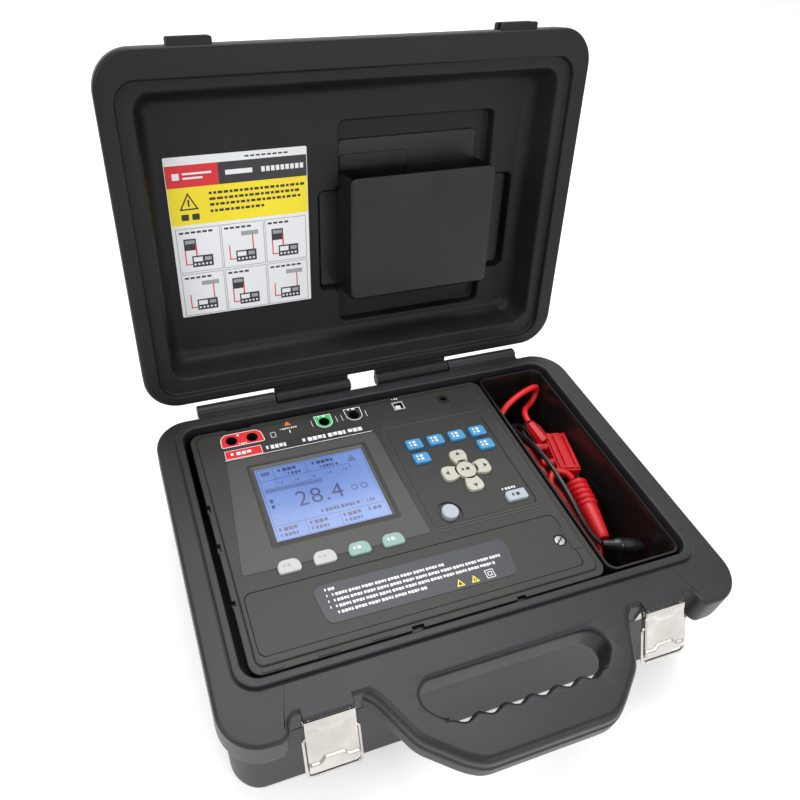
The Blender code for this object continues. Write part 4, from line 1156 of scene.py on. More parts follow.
handle = Shape(CASE)
top_z = BASE_H + 0.05
outer_rings = [(handle_ring(i), z) for i, z in arc(6.0, 86.5, 6.0, -90, 0, 5)]
outer_rings += [(handle_ring(0.0), 94.0), (handle_ring(0.0), 97.0), (handle_ring(0.9), 97.8),
                (handle_ring(1.0), 100.0)]
outer_rings += [(handle_ring(i + 1.0), z) for i, z in arc(5.5, top_z - 5.5, 5.5, 0, 90, 6)]
outer_low, outer_high = handle.loft(outer_rings, bottom=False, top=False)
inner_rings = [(finger_ring(i), z) for i, z in
               ((3.4, 80.5), (1.4, 81.4), (0.3, 83.2), (0.0, 85.5), (0.0, 103.0),
                (0.4, 105.4), (1.5, 107.2), (3.2, top_z))]
inner_low, inner_high = handle.loft(inner_rings, bottom=False, top=False)
handle.fill_between(outer_high, inner_high)
handle.fill_between(outer_low, inner_low)
finished(handle.build("carry_handle"), "case", "case_plastic", "case_base", sharp=55)

# %% [markdown]
# ## Lid
#
# The lid is drawn closed and then swung open about the hinge, because the numbers of a
# closed lid can be checked against the base. Its inside steps in once, falls with a
# draft to a rounded floor, and the floor has a cross-shaped recess. Each of these is
# one ring function, so that a loft reads as a list of insets and heights.

# %% Lid outlines
SEAM_Z = BASE_H + 0.3
SWING = (Matrix.Translation(Vector((0, HINGE_Y, HINGE_Z)) * MM)
         @ Matrix.Rotation(math.radians(-104.13), 4, "X")
         @ Matrix.Translation(Vector((0, -HINGE_Y, -HINGE_Z)) * MM))


def lid_ring(inset):
    half, back = HALF_WIDTH - inset, BACK_Y - inset
    return rounded_rect(-half, half, -back, back, max(CORNER - inset, 3), 12)


def step_ring(inset):
    return rounded_rect(-201 + inset, 199 - inset, -130 + inset, 142 - inset, 18 - inset, 12)


def well_ring(inset):
    return rounded_rect(-187 + inset, 187.5 - inset, -120 + inset, 127 - inset,
                        max(14 - inset * 0.4, 3), 12)


def cross_ring(inset):
    x = (-31.5 + inset, -11.0 + inset, 144.5 - inset, 170.5 - inset)
    y = (-84.5 + inset, -24.5 + inset, 72.0 - inset, 108.0 - inset)
    corners = [(x[1], y[0]), (x[2], y[0]), (x[2], y[1]), (x[3], y[1]), (x[3], y[2]),
               (x[2], y[2]), (x[2], y[3]), (x[1], y[3]), (x[1], y[2]), (x[0], y[2]),
               (x[0], y[1]), (x[1], y[1])]
    return rounded(corners, 7.0, 6)


print("the lid is swung", round(math.degrees(-SWING.to_euler().x)), "degrees open")

# %% Lid skin
# The lid shell wears the shaded copy of the case plastic, which is painted shade.
lid = Shape(LID_SHADED_COPY)
# Outside, from the rim face to the crown
outside = [(lid_ring(i), SEAM_Z + 3 - z) for i, z in arc(3.0, 0.0, 3.0, 90, 0, 5)]
outside += [(lid_ring(0), SEAM_Z + 8), (lid_ring(0), SEAM_Z + 17.5)]
outside += [(lid_ring(i), SEAM_Z + z) for i, z in
            ((0.5, 19.3), (1.8, 20.6), (3.4, 21.2), (4.2, 21.8), (4.6, 23.5), (6.0, 32.0),
             (9.0, 49.0), (10.4, 52.2), (13.0, 54.6), (17.0, 56.0), (30.0, 56.0))]
rim_outer, _ = lid.loft(outside, bottom=False)
# Inside, from the rim face down the step and the well
inside = [(step_ring(-1.2), SEAM_Z), (step_ring(-0.4), SEAM_Z + 0.3),
          (step_ring(0), SEAM_Z + 1.2), (step_ring(0.2), SEAM_Z + 4.2),
          (step_ring(0.8), SEAM_Z + 5.2), (step_ring(1.8), SEAM_Z + 5.5)]
inner_rim, step_foot = lid.loft(inside, bottom=False, top=False)
lid.fill_between(rim_outer, inner_rim)
well = [(well_ring(-2.2), SEAM_Z + 5.5), (well_ring(-0.8), SEAM_Z + 5.9),
        (well_ring(0), SEAM_Z + 7.2), (well_ring(1.0), SEAM_Z + 12),
        (well_ring(3.2), SEAM_Z + 23), (well_ring(4.4), SEAM_Z + 27.5),
        (well_ring(6.0), SEAM_Z + 31), (well_ring(8.4), SEAM_Z + 33.8),
        (well_ring(11.5), SEAM_Z + 35.5), (well_ring(15), SEAM_Z + 36)]
well_top, well_foot = lid.loft(well, bottom=False, top=False)
lid.fill_between(step_foot, well_top)
cross = [(cross_ring(-1.6), SEAM_Z + 36), (cross_ring(-0.5), SEAM_Z + 36.5),
         (cross_ring(0), SEAM_Z + 37.8), (cross_ring(0.4), SEAM_Z + 45.0),
         (cross_ring(0.9), SEAM_Z + 46.6), (cross_ring(2.2), SEAM_Z + 47.2)]
cross_top, _ = lid.loft(cross, bottom=False)
lid.fill_between(well_foot, cross_top)
# Two ledges with a neck between them, where each bail hooks on
for x in (-LATCH_X, LATCH_X):
    ledge = rounded(block(x - 17, x + 17, -157.6, -149), 2, 3)
    neck = rounded(block(x - 15.5, x + 15.5, -153.1, -149), 0.8, 2)
    lid.pad(ledge, SEAM_Z + 2.2, SEAM_Z + 5.2, 0.5)
    lid.pad(ledge, SEAM_Z + 10.4, SEAM_Z + 16.0, 0.8)
    lid.pad(neck, SEAM_Z + 4.8, SEAM_Z + 11, 0.3)
for x0, x1 in ((-93.7, -16.0), (13.0, 92.7)):
    knuckle(lid, x0, x1, LID_ARM)
lid.place(SWING)
finished(lid.build("lid_shell"), "lid", "case_plastic", "case_lid", sharp=50)

# %% [markdown]
# ### Document pocket
#
# A shiny black tray in the lid holds the papers. It is a rounded box that is open at
# one end, with a wide flange behind it. Solidify could give it walls, but the wall has
# to stay inside its limits, so the hollow is cut out of a solid block and the flange is
# joined on, both with the exact Boolean.


# %% Document pocket
pocket = Shape(TRAY)
px0, px1, py0, py1 = -10.5, 134.5, -40.5, 74.0
front_face, back_face = SEAM_Z + 6.0, SEAM_Z + 46.6


def pocket_ring(inset):
    return rounded_rect(px0 + inset, px1 - inset, py0, py1 - inset, 5.0, 6)


pocket_rings = [(pocket_ring(-1.5), back_face), (pocket_ring(-0.6), back_face - 20)]
pocket_rings += [(pocket_ring(i), 2 * front_face + 2.6 - z)
                 for i, z in arc(2.6, front_face, 2.6, 0, 90, 5)]
pocket.loft([(o, z) for o, z in reversed(pocket_rings)])
pocket_body = pocket.build("document_tray")
hollow = Shape(TRAY)
hollow.loft([(rounded_rect(px0 + 2, px1 - 2, py0 - 20, py1 - 2, 2, 3), z)
             for z in (front_face + 2, back_face - 3)])
combine(pocket_body, hollow.build("hollow"))
flange = Shape(TRAY)
plate = rounded_rect(px0 - 18, px1 + 33, py0 + 18, py1 - 4, 4, 5)
flange.loft([(shrunk(plate, 0.4), back_face - 2.2), (plate, back_face - 1.8),
             (plate, back_face)])
combine(pocket_body, flange.build("flange"), "UNION")
pocket_body.data.transform(SWING)
finished(pocket_body, "lid", "black_plastic", "document_pocket", sharp=40)

# %% Pocket back plate
back_plate = Shape(TRAY)
for x0, x1, y0, y1, front in ((-9.0, 131.0, -67.0, -36.0, 44.8),
                              (-8.6, 60.0, -54.0, -30.0, 43.6)):
    outline = rounded_rect(x0, x1, y0, y1, 4.0, 5)
    face_z = SEAM_Z + front
    back_plate.loft([(outline, SEAM_Z + 47.4), (outline, face_z + 0.6),
                     (shrunk(outline, 0.2), face_z + 0.2), (shrunk(outline, 0.6), face_z)])
back_plate.place(SWING)
finished(back_plate.build("pocket_back_plate"), "lid", "black_plastic", sharp=45)

# %% [markdown]
# ### Instruction label
#
# A printed sheet is glued in the left of the lid: a heading band, a yellow warning and
# six small wiring pictures. Drawing it as an image would be simpler, but thin shapes of
# coloured material need no image and stay sharp. A mark is a box in the label's own
# millimetres, `u` to the right and `v` down, and its level says how many layers of ink
# lie under it. The words are rows of blocks that say nothing.

# %% Label sheet
WHITE, RED_INK, DARK, YELLOW, GREY = range(5)
LAYER = 0.04
LABEL_X, LABEL_Y = -168.0, -66.5
LABEL_WIDTH, LABEL_HEIGHT = 126.0, 144.5
label = Shape(PAPER, PRINT_RED, PRINT_DARK, PRINT_YELLOW, PRINT_GREY)


def label_box(u0, v0, u1, v1, level, slot):
    """A filled box; boxes with a higher level lie on top."""
    label.flat(block(LABEL_X + u0, LABEL_X + u1, LABEL_Y + v0, LABEL_Y + v1),
               -level * LAYER, slot)


def label_row(u, v, width, height, pitch, count, level, slot):
    """Equal boxes side by side."""
    for i in range(count):
        label_box(u + i * pitch, v, u + i * pitch + width, v + height, level, slot)


def label_frame(u0, v0, u1, v1, width, level, slot):
    for box in ((u0, v0, u1, v0 + width), (u0, v1 - width, u1, v1), (u0, v0, u0 + width, v1),
                (u1 - width, v0, u1, v1)):
        label_box(*box, level, slot)


sheet = rounded_rect(LABEL_X, LABEL_X + LABEL_WIDTH, LABEL_Y, LABEL_Y + LABEL_HEIGHT, 1.2, 3)
label.loft([(sheet, 0.35), (sheet, 0.0)])
print("label sheet", LABEL_WIDTH, "x", LABEL_HEIGHT, "mm")

# %% Heading band and warning
label_box(0.5, 7.0, 125.5, 25.5, 1, DARK)
label_box(0.5, 7.0, 46.0, 25.5, 2, RED_INK)
for box in ((6.0, 13.5, 12.0, 19.0), (15.0, 13.5, 40.0, 15.2), (15.0, 17.2, 32.0, 18.9),
            (52.0, 14.0, 76.0, 18.0)):
    label_box(*box, 3, WHITE)
label_row(84.0, 13.8, 3.2, 4.4, 4.4, 9, 3, WHITE)
label_row(70.0, 3.2, 3.6, 1.4, 5.0, 8, 1, DARK)
label_box(0.5, 25.5, 125.5, 58.0, 1, YELLOW)
for corners, level, slot in ((((9, 45), (26, 45), (17.5, 30)), 2, DARK),
                             (((11.2, 43.7), (23.8, 43.7), (17.5, 32.6)), 3, YELLOW)):
    label.flat([(LABEL_X + u, LABEL_Y + v) for u, v in corners], -level * LAYER, slot)
label_box(16.7, 36.0, 18.3, 42.0, 4, DARK)
for row, (v, end) in enumerate(((31.0, 122), (36.0, 116), (41.0, 120), (46.5, 84))):
    u = 36.0
    while u < end:
        long = 2.6 + 1.4 * ((row * 5 + int(u)) % 3)
        label_box(u, v, u + long, v + 2.3, 2, DARK)
        u += long + 1.3
label_row(10.0, 48.6, 6.5, 5.4, 9.5, 2, 2, DARK)
print("label so far:", len(label.bm.faces), "faces")


# %% Wiring pictures
def wiring_picture(u, v, words, on_box):
    """A framed picture: a caption, the tester, and what its leads reach."""
    label_frame(u, v, u + 39.4, v + 40.6, 0.6, 1, GREY)
    label_row(u + 3, v + 3.0, 3.8, 1.8, 5.2, words, 2, DARK)
    label_box(u + 12, v + 25.5, u + 31, v + 36.0, 2, DARK)
    label_box(u + 13.2, v + 26.8, u + 21.5, v + 31.0, 3, WHITE)
    label_row(u + 13.4, v + 32.6, 1.8, 1.8, 3.5, 5, 3, WHITE)
    label_box(u + 23.4, v + 27.2, u + 29.4, v + 30.6, 3, GREY)
    if on_box:
        label_box(u + 6, v + 9.5, u + 17, v + 20.0, 2, DARK)
        label_box(u + 7.2, v + 10.8, u + 15.8, v + 14.0, 3, GREY)
        label_box(u + 16, v + 14.6, u + 17.2, v + 25.5, 3, RED_INK)
    else:
        label_box(u + 18, v + 8.0, u + 34, v + 12.0, 2, GREY)
        label_box(u + 28, v + 12.0, u + 29, v + 25.5, 3, RED_INK)
    label_box(u + 6.0, v + 20.0, u + 7.0, v + 33.5, 2, RED_INK)
    label_box(u + 6.0, v + 32.5, u + 12.0, v + 33.5, 2, RED_INK)


for row in range(2):
    for col in range(3):
        wiring_picture(3.0 + 40.4 * col, 61.0 + 42.0 * row, 6 - (col + row) % 3,
                       (row + col) % 2 == 0)
label.place(Matrix.Translation(Vector((0, 0, SEAM_Z + 35.35)) * MM))
label.place(SWING)
finished(label.build("instruction_sheet", recalc=False), "lid", "label_paper",
         "instruction_label")

# %% [markdown]
# ## Latches
#
# Each latch is a folded nickel-plated lever on a bracket, with a round-wire bail that
# reaches up to hook over the lid's keeper. The lever hangs a little away from the wall.
# Its middle is pressed in about three quarters of a millimetre. A displacement would
# do that with a texture, but a grid of rows and columns whose depth is one small
# function keeps the pressing crisp and the sheet evenly thick.


# %% Pressed lever
LEVER_Y, LEVER_Z, LEVER_TILT = -141.5, 101.3, -31.0
LEVER_HALF, LEVER_LENGTH, SHEET = 18.7, 39.5, 0.8
PRESS_DEPTH = 0.75


def lever_matrix(x):
    return (Matrix.Translation(Vector((x, LEVER_Y, LEVER_Z)) * MM)
            @ Matrix.Rotation(math.radians(LEVER_TILT), 4, "X"))


def lever(x):
    """A plate with two side flanges; its middle is pressed in a little."""
    shape = Shape(NICKEL)
    columns, rows = 38, 40
    inside = LEVER_HALF - SHEET

    def depth(u, v):
        """How far the face is pressed in, with u across and v down from the top."""
        edge = min(max(abs(u) - 7.0, 0.0) / 3.2, 1.0)
        top = 5.2 + 3.6 * (1 - edge)
        foot = 34.5 - 3.6 * (1 - edge)
        if v < top - 0.5 or v > foot + 0.5:
            return 0.0
        rise = min(v - top + 0.5, foot + 0.5 - v, 1.0)
        return PRESS_DEPTH * max(0.0, rise)

    def with_sides(line, x, ends):
        """A row of the sheet with the flange points mirrored on to both ends."""
        side = [(x, y, line[0][2]) for y in ends]
        return [(-px, py, pz) for px, py, pz in reversed(side)] + line + side

    outer, inner = [], []
    for j in range(rows + 1):
        v = LEVER_LENGTH * j / rows
        line, back = [], []
        for i in range(columns + 1):
            u = LEVER_HALF * (2 * i / columns - 1)
            bend = max(0.0, abs(u) - LEVER_HALF + 1.0) ** 2 * 0.5
            y = -3.5 + depth(u, v) + bend
            line.append((u, y, 1.5 - v))
            back.append((max(-inside, min(inside, u)), y + SHEET, 1.5 - v))
        flange = min(2.2, max(0.0, 2.2 - max(0.0, v - 23.5) * 0.17))
        outer.append(shape.points(with_sides(line, LEVER_HALF, (-2.2, -0.6, flange))))
        inner.append(shape.points(with_sides(back, inside, (-2.0, -0.6, flange))))
    for loops in (outer, inner):
        for a, b in zip(loops, loops[1:]):
            shape.bridge(a, b, closed=False)
    for a, b in ((outer[0], inner[0]), (outer[-1], inner[-1])):
        shape.bridge(a, b, closed=False)
    for k in (0, -1):
        shape.bridge([r[k] for r in outer], [r[k] for r in inner], closed=False)
    shape.place(lever_matrix(x))
    return shape


# %% [markdown]
# ### Bails and rivets
#
# The bail is one bent wire with its ends tucked into the lever, and the rivet is a
# turned pin with a low head at each side. Both are the round bar tree: the bail along a
# bent line with one radius, and the rivet along a straight one with many.


# %% Bail and rivet
WIRE = 1.2
PIN = 1.35


def bail(x):
    arm, tuck, drop, reach, bend = 20.3, 16.8, -13.5, 31.0, 4.2
    half = [(tuck, 0.0), (arm - 1.4, 0.0), (arm - 0.4, -0.4), (arm, -1.4), (arm, -9.0),
            (arm, -18.0), (arm, -reach + bend)]
    for i in range(1, 8):
        a = math.radians(90 * i / 7)
        half.append((arm - bend + bend * math.cos(a), -reach + bend - bend * math.sin(a)))
    half += [(8.0, -reach)]
    route = half + [(-u, w) for u, w in reversed(half)]
    shape = Shape(NICKEL)
    shape.bar([(u, -0.5, drop + w) for u, w in route], WIRE, 14)
    shape.place(lever_matrix(x))
    return shape


def rivet(x):
    half = [(17.2, PIN), (18.9, PIN), (19.0, 2.0), (19.5, 1.8), (19.9, 1.0)]
    whole = [(-u, r) for u, r in reversed(half)] + half
    shape = Shape(STEEL)
    shape.bar([(x + u, LEVER_Y, LEVER_Z) for u, _ in whole], [r for _, r in whole], 18)
    return shape


# %% Both latches
for name, x in (("left", -LATCH_X), ("right", LATCH_X)):
    finished(lever(x).build(f"pressed_lever_{name}"), f"lever_{name}", "nickel",
             f"latch_lever_{name}", sharp=40)
    finished(bail(x).build(f"wire_bail_{name}"), f"bail_{name}", "nickel",
             f"latch_bail_{name}", sharp=60)
    finished(rivet(x).build(f"lever_rivet_{name}"), "case", "steel", f"latch_pin_{name}")

# %% [markdown]
# ## Instrument panel
#
# The panel has a stepped border, a lighter raised platform round the display, a sunk
# keypad and a printed strip. All print is generic: bars, blocks and plain numbers. The
# keys and their holes must agree, so both are made from one table: each row holds a
# key's name, its shape, its place, its colour and its finish. For the four arrow keys
# the place is a turn round the middle of the pad instead.

# %% Panel plan
TOP = BASE_H - 3.0
PANEL_BOX = (-184.5, 115.0, -103.0, 134.0)
PAD = (49.0, 26.0)
PAD_REACH = 17.2
KEYS = (
    ("function_key_1", "function", -134.0, -25.0, KEY_WHITE, "key_white"),
    ("function_key_2", "function", -104.2, -25.0, KEY_WHITE, "key_white"),
    ("function_key_3", "function", -74.5, -25.0, KEY_GREEN, "key_green"),
    ("function_key_4", "function", -44.7, -25.0, KEY_GREEN, "key_green"),
    ("blue_key_1", "blue", 15.2, 67.3, KEY_BLUE, "key_blue"),
    ("blue_key_2", "blue", 37.3, 67.3, KEY_BLUE, "key_blue"),
    ("blue_key_3", "blue", 59.4, 67.3, KEY_BLUE, "key_blue"),
    ("blue_key_4", "blue", 81.6, 67.3, KEY_BLUE, "key_blue"),
    ("blue_key_5", "blue", 81.6, 50.0, KEY_BLUE, "key_blue"),
    ("blue_key_6", "blue", 15.2, 50.0, KEY_BLUE, "key_blue"),
    ("test_key", "test", 79.6, -12.0, KEY_SILVER, "key_silver"),
    ("power_key", "power", 14.2, -12.4, KEY_SILVER, "key_silver"),
    ("enter_key", "ok", *PAD, KEY_CREAM, "key_cream"),
    ("up_key", "arrow", 0, 0, KEY_CREAM, "key_cream"),
    ("left_key", "arrow", 90, 0, KEY_CREAM, "key_cream"),
    ("down_key", "arrow", 180, 0, KEY_CREAM, "key_cream"),
    ("right_key", "arrow", 270, 0, KEY_CREAM, "key_cream"),
)


def pad_place(degrees):
    """The middle of the arrow key at this turn round the pad."""
    a = math.radians(degrees)
    return PAD[0] - PAD_REACH * math.sin(a), PAD[1] + PAD_REACH * math.cos(a)


def key_plan(shape, x, y, grow=0.0):
    """A key's outline from above; a positive grow makes it larger."""
    if shape == "blue":
        corners = [(-7.9, -4.2), (-6.2, -5.8), (7.9, -5.8), (7.9, 4.0), (6.0, 5.8),
                   (-7.9, 5.8)]
        outline = rounded(corners, 1.8, 5)
    elif shape == "function":
        corners = [(-9.6, -6.0), (9.6, -6.0), (9.6, 1.6), (6.2, 6.0), (-6.2, 6.0),
                   (-9.6, 1.6)]
        outline = rounded(corners, 3.0, 5)
    elif shape == "test":
        corners = [(-10.2, -5.4), (10.2, -5.4), (10.2, 5.4), (-7.4, 5.4), (-10.2, 3.0)]
        outline = rounded(corners, 2.2, 5)
    elif shape == "arrow":
        corners = [(8.2, -1.0), (7.6, 4.4), (4.6, 6.6), (-4.6, 6.6), (-7.6, 4.4),
                   (-8.2, -1.0)]
        inner = []
        for i in range(7):
            a = math.radians(11.6 * (i - 3))
            inner.append((10.0 * math.sin(a), 10.0 * math.cos(a) - PAD_REACH))
        outline = rounded(corners + inner, 1.6, 4)
        return turned_by(shrunk(outline, -grow), *pad_place(x), x)
    else:
        return circle(x, y, {"power": 7.6, "ok": 9.2}[shape] + grow, 44)
    return [(x + px, y + py) for px, py in shrunk(outline, -grow)]


print(len(KEYS), "keys:", sorted({key[1] for key in KEYS}))


# %% [markdown]
# ### Panel plate
#
# The plate is one loft for its stepped border. Everything that sinks into it or goes
# through it is cut with the exact Boolean: the keypad, the window, the battery bay, the
# round dip of the power key, the clips' notches, and a hole for every key and socket.
# Drawing a face with thirty holes by hand would be slower and easier to get wrong.


# %% Panel plate
def cut(obj, *rings):
    """Cut a stack of rings out of the object."""
    tool = Shape(PANEL)
    tool.loft(rings)
    combine(obj, tool.build("cutter"))


def cut_through(obj, outline):
    cut(obj, (outline, 90), (outline, 110))


KEY_GAP = 0.45
WINDOW = (-140, -31, -3.4, 82.4)
BAY = (-175.35, 100.35, -91.35, -38.65)
KEYPAD = (-6.0, 96.0, -24.0, 88.0)
PORT = (14.3, 27.7, 113.3, 125.7)
POWER_PLACE = (14.2, -12.4)
CHARGER_PLACE = (68.7, 116.5)
SOCKETS = ((-147.7, 117.0), (-128.2, 117.0), (-57.0, 118.0), (-26.0, 119.5))
SOCKET_R = 5.35
NOTCHES = ((-190, -181.6, 44, 52), (-190, -181.6, 4, 12), (-190, -181.6, -46, -41),
           (-150, -126, 131.4, 140), (-60, -50, -110, -99.6), (30, 38, -110, -100.6))

panel = Shape(PANEL)
left, right_x, front, back = PANEL_BOX
border = ((0.0, 100.2), (0.0, 102.8), (0.4, 103.4), (1.0, 103.6), (4.6, 103.6),
          (5.2, 103.8), (5.6, 104.5), (6.2, 104.9), (7.0, 105.0))
panel.loft([(rounded_rect(left + i, right_x - i, front + i, back - i, 10 - i * 0.6, 8), z)
            for i, z in border])
panel_piece = panel.build("panel_plate")

# %% Panel openings
x0, x1, y0, y1 = KEYPAD
cut(panel_piece, (rounded_rect(x0 + 1.2, x1 - 1.2, y0 + 1.2, y1 - 1.2, 4, 6), TOP - 0.9),
    (rounded_rect(*KEYPAD, 5, 6), TOP + 0.3))
cut_through(panel_piece, rounded_rect(*WINDOW, 2, 4))
cut(panel_piece, (rounded_rect(*BAY, 6, 8), TOP - 3.3), (rounded_rect(*BAY, 6, 8), 110))
cut(panel_piece, (circle(*POWER_PLACE, 11.4, 48), TOP - 2.2),
    (circle(*POWER_PLACE, 11.8, 48), 110))
for notch in NOTCHES:
    cut_through(panel_piece, rounded_rect(*notch, 0.5, 2))
for _, kind, x, y, _, _ in KEYS:
    cut_through(panel_piece, key_plan(kind, x, y, KEY_GAP))
for place in SOCKETS:
    cut_through(panel_piece, circle(*place, 7.3, 40))
cut_through(panel_piece, circle(*CHARGER_PLACE, 5.9, 40))
cut_through(panel_piece, rounded_rect(*PORT, 1, 3))
finished(panel_piece, "case", "panel_plastic", "top_panel", "socket_strip", sharp=30)

# %% [markdown]
# ### Display platform and trim
#
# A paler platform rises half a millimetre round the display, and its inner edge slopes
# down to the glass as a bezel. It is an outer loft and an inner loft with a flat face
# between them. The thin ribs and lines of the panel are low pads: each one is a row of
# the list below, with its box, its foot, its top, its edge and its slot.

# %% Display platform
trim = Shape(PANEL_LIGHT, PANEL)
platform = [(-172, -23.5), (-10.5, -27.5), (-15.0, 93.2), (-158.0, 93.2)]
window = rounded_rect(-142.5, -28.0, -5.5, 84.5, 3.0, 4)
_, rim_loop = trim.loft([(rounded(platform, 3.5, 5), TOP - 0.1),
                         (rounded(platform, 3.5, 5), TOP + 0.2),
                         (rounded(shrunk(platform, 0.5), 3.2, 5), TOP + 0.55)],
                        bottom=False, top=False)
_, window_loop = trim.loft([(shrunk(window, inset), TOP + z) for inset, z in
                            ((6.4, -1.9), (6.0, -1.3), (1.0, -0.3), (0.4, 0.2), (0, 0.55))],
                           bottom=False, top=False)
trim.fill_between(rim_loop, window_loop)
ribs = [((-6.5, 96.5, 96.6, 103.4), 1.4, 3, -0.1, 0.55, 0.5, 1),
        ((-6.5, 96.5, 93.0, 93.9), 0.3, 2, -0.1, 0.3, 0.2, 0),
        ((-7.2, -6.4, -20.0, 90.0), 0.3, 2, -0.1, 0.35, 0.2, 0),
        ((-12.6, -11.6, -26, 128), 0.3, 2, -0.1, 0.3, 0.2, 1),
        ((98.2, 107.5, -76, -53), 1.2, 3, -0.1, 0.5, 0.3, 1)]
ribs += [((-3.0, 96.0, y, y + 1.2), 0.4, 2, -0.1, 0.5, 0.3, 0) for y in (-26.0, -29.0)]
ribs += [((x, x + 16, -101.8, -98.6), 0.4, 2, -1.5, -0.8, 0.2, 1) for x in (-176, -134, -92)]
for box, corner, steps, foot, top, edge, slot in ribs:
    trim.pad(rounded_rect(*box, corner, steps), TOP + foot, TOP + top, edge, slot)
finished(trim.build("display_platform"), "case", "panel_plastic", sharp=30)


# %% [markdown]
# ### Printed strip and socket labels
#
# Each socket sits in a coloured patch with a pale edge, and a dark strip below names
# them all. The patches have holes for the sockets, so they are filled between loops.
# Everything else is flat shapes and lines of print, each layer a few hundredths of a
# millimetre above the last so that they never flicker through each other. One dark strip
# down in the screw's coin slot is painted shade, not print.


# %% Printed strip and socket labels
def with_holes(shape, outline, holes, z, slot):
    """A flat face with round holes for the sockets at these places."""
    edges = []
    for points in [outline] + [circle(x, y, SOCKET_R, 32) for x, y in holes]:
        loop = shape.ring(points, z)
        for i, vert in enumerate(loop):
            edges.append(shape.bm.edges.new((vert, loop[(i + 1) % len(loop)])))
    made = bmesh.ops.triangle_fill(shape.bm, use_beauty=True, edges=edges)
    for item in made["geom"]:
        if isinstance(item, bmesh.types.BMFace):
            item.material_index = slot
            item.normal_update()
            if item.normal.z < 0:
                item.normal_flip()


print_and_shade_marks = Shape(BLACK, PRINT_RED, PRINT_DARK, PRINT_DARK, PRINT_WHITE, PRINT_GREEN,
               PRINT_ORANGE)
RED_MARK, DARK_INK_AND_SLOT_SHADE, STRIP, WHITE_MARK, GREEN_MARK, ORANGE_MARK = range(1, 7)
LEVEL = TOP + 0.33
base_line = TOP + 0.06
red_plan = rounded([(-158.5, 109.6), (-117.0, 109.6), (-118.5, 121.5), (-122.5, 125.6),
                    (-153.0, 125.6), (-157.5, 121.5)], 3.0, 5)
patches = [(red_plan, SOCKETS[:2], RED_MARK)]
for (x, y), slot in zip(SOCKETS[2:], (GREEN_MARK, DARK_INK_AND_SLOT_SHADE)):
    cup = [(x + 8.6 * math.cos(math.radians(a)), y + 0.6 + 8.2 * math.sin(math.radians(a)))
           for a in range(200, 341, 10)]
    patches.append(([(x - 8.6, y + 8.8)] + cup + [(x + 8.6, y + 8.8)], [(x, y)], slot))
for plan, holes, slot in patches:
    with_holes(print_and_shade_marks, plan, holes, LEVEL, WHITE_MARK)
    with_holes(print_and_shade_marks, shrunk(plan, 0.7), holes, LEVEL + 0.05, slot)
print_and_shade_marks.flat(rounded([(-158.5, 94.6), (-16.5, 94.6), (-17.5, 106.6), (-157.5, 106.6)], 1.0, 3),
            base_line, STRIP)
print_and_shade_marks.flat(block(-158.2, -16.8, 94.6, 95.2), base_line + 0.05, WHITE_MARK)
red_end = [(-157.6, 95.6), (-123.0, 95.6), (-123.0, 105.8), (-157.0, 105.8)]
print_and_shade_marks.flat(red_end, base_line + 0.05, RED_MARK)
print_and_shade_marks.frame(red_end, 0.5, base_line + 0.09, WHITE_MARK)
print(len(patches), "socket patches and the strip")

# %% Lines of print on the panel
for x0, x1, y, height, z, pitch, fill in (
        (-141.5, -134.0, 121.0, 2.4, LEVEL + 0.09, 3.8, 0.8),
        (-142.0, -134.0, 110.9, 1.6, LEVEL + 0.09, 2.0, 0.7),
        (-61.5, -53.0, 124.2, 1.9, LEVEL + 0.09, 4.2, 0.8),
        (-30.5, -22.0, 125.7, 1.9, LEVEL + 0.09, 4.2, 0.8),
        (-152.0, -128.0, 99.0, 3.6, base_line + 0.1, 5.0, 0.78),
        (-119.0, -94.0, 98.2, 4.6, base_line + 0.1, 4.2, 0.78),
        (-84.0, -24.0, 98.2, 4.6, base_line + 0.1, 5.0, 0.82),
        (-100.5, -82.5, 118.4, 1.7, base_line, 2.1, 0.7),
        (17.4, 25.6, 128.2, 1.6, base_line, 2.4, 0.7),
        (71.0, 88.5, -3.4, 2.3, TOP - 0.84, 3.0, 0.75)):
    print_and_shade_marks.bars(x0, x1, y, height, z, WHITE_MARK, pitch, fill)
print_and_shade_marks.flat([(-95.4, 122.6), (-88.6, 122.6), (-92.0, 128.4)], base_line, ORANGE_MARK)
for box in [(-92.6, -91.6, 113.0, 117.0)] + [
        (x, x + 0.5, 114.5, 122.5) for x in (-69.5, -44.5, -39.0, -14.0)]:
    print_and_shade_marks.flat(block(*box), base_line, WHITE_MARK)
print_and_shade_marks.frame(rounded(block(-111, -106, 111.5, 118), 1.0, 3), 0.5, base_line, WHITE_MARK)
print_and_shade_marks.frame(block(15.2, 26.8, 114.2, 124.8), 1.1, base_line, WHITE_MARK)
SCREW_PLACE, SCREW_TURN, SLOT_HALF = (92.0, -64.7), 35, 0.75
# A dark strip inside the screw's coin slot: painted shade, not print.
print_and_shade_marks.flat(turned_by(block(-4.3, 4.3, -SLOT_HALF, SLOT_HALF), *SCREW_PLACE, SCREW_TURN),
            TOP - 0.35, DARK_INK_AND_SLOT_SHADE)
finished(print_and_shade_marks.build("panel_print_and_slot_shade", recalc=False), "case", "panel_plastic")

# %% [markdown]
# ### Battery cover
#
# A flat door closes the battery bay, held by one captive screw with a coin slot. Door
# and screw are simple lofts, and the Boolean cuts the screw's well and its slot.

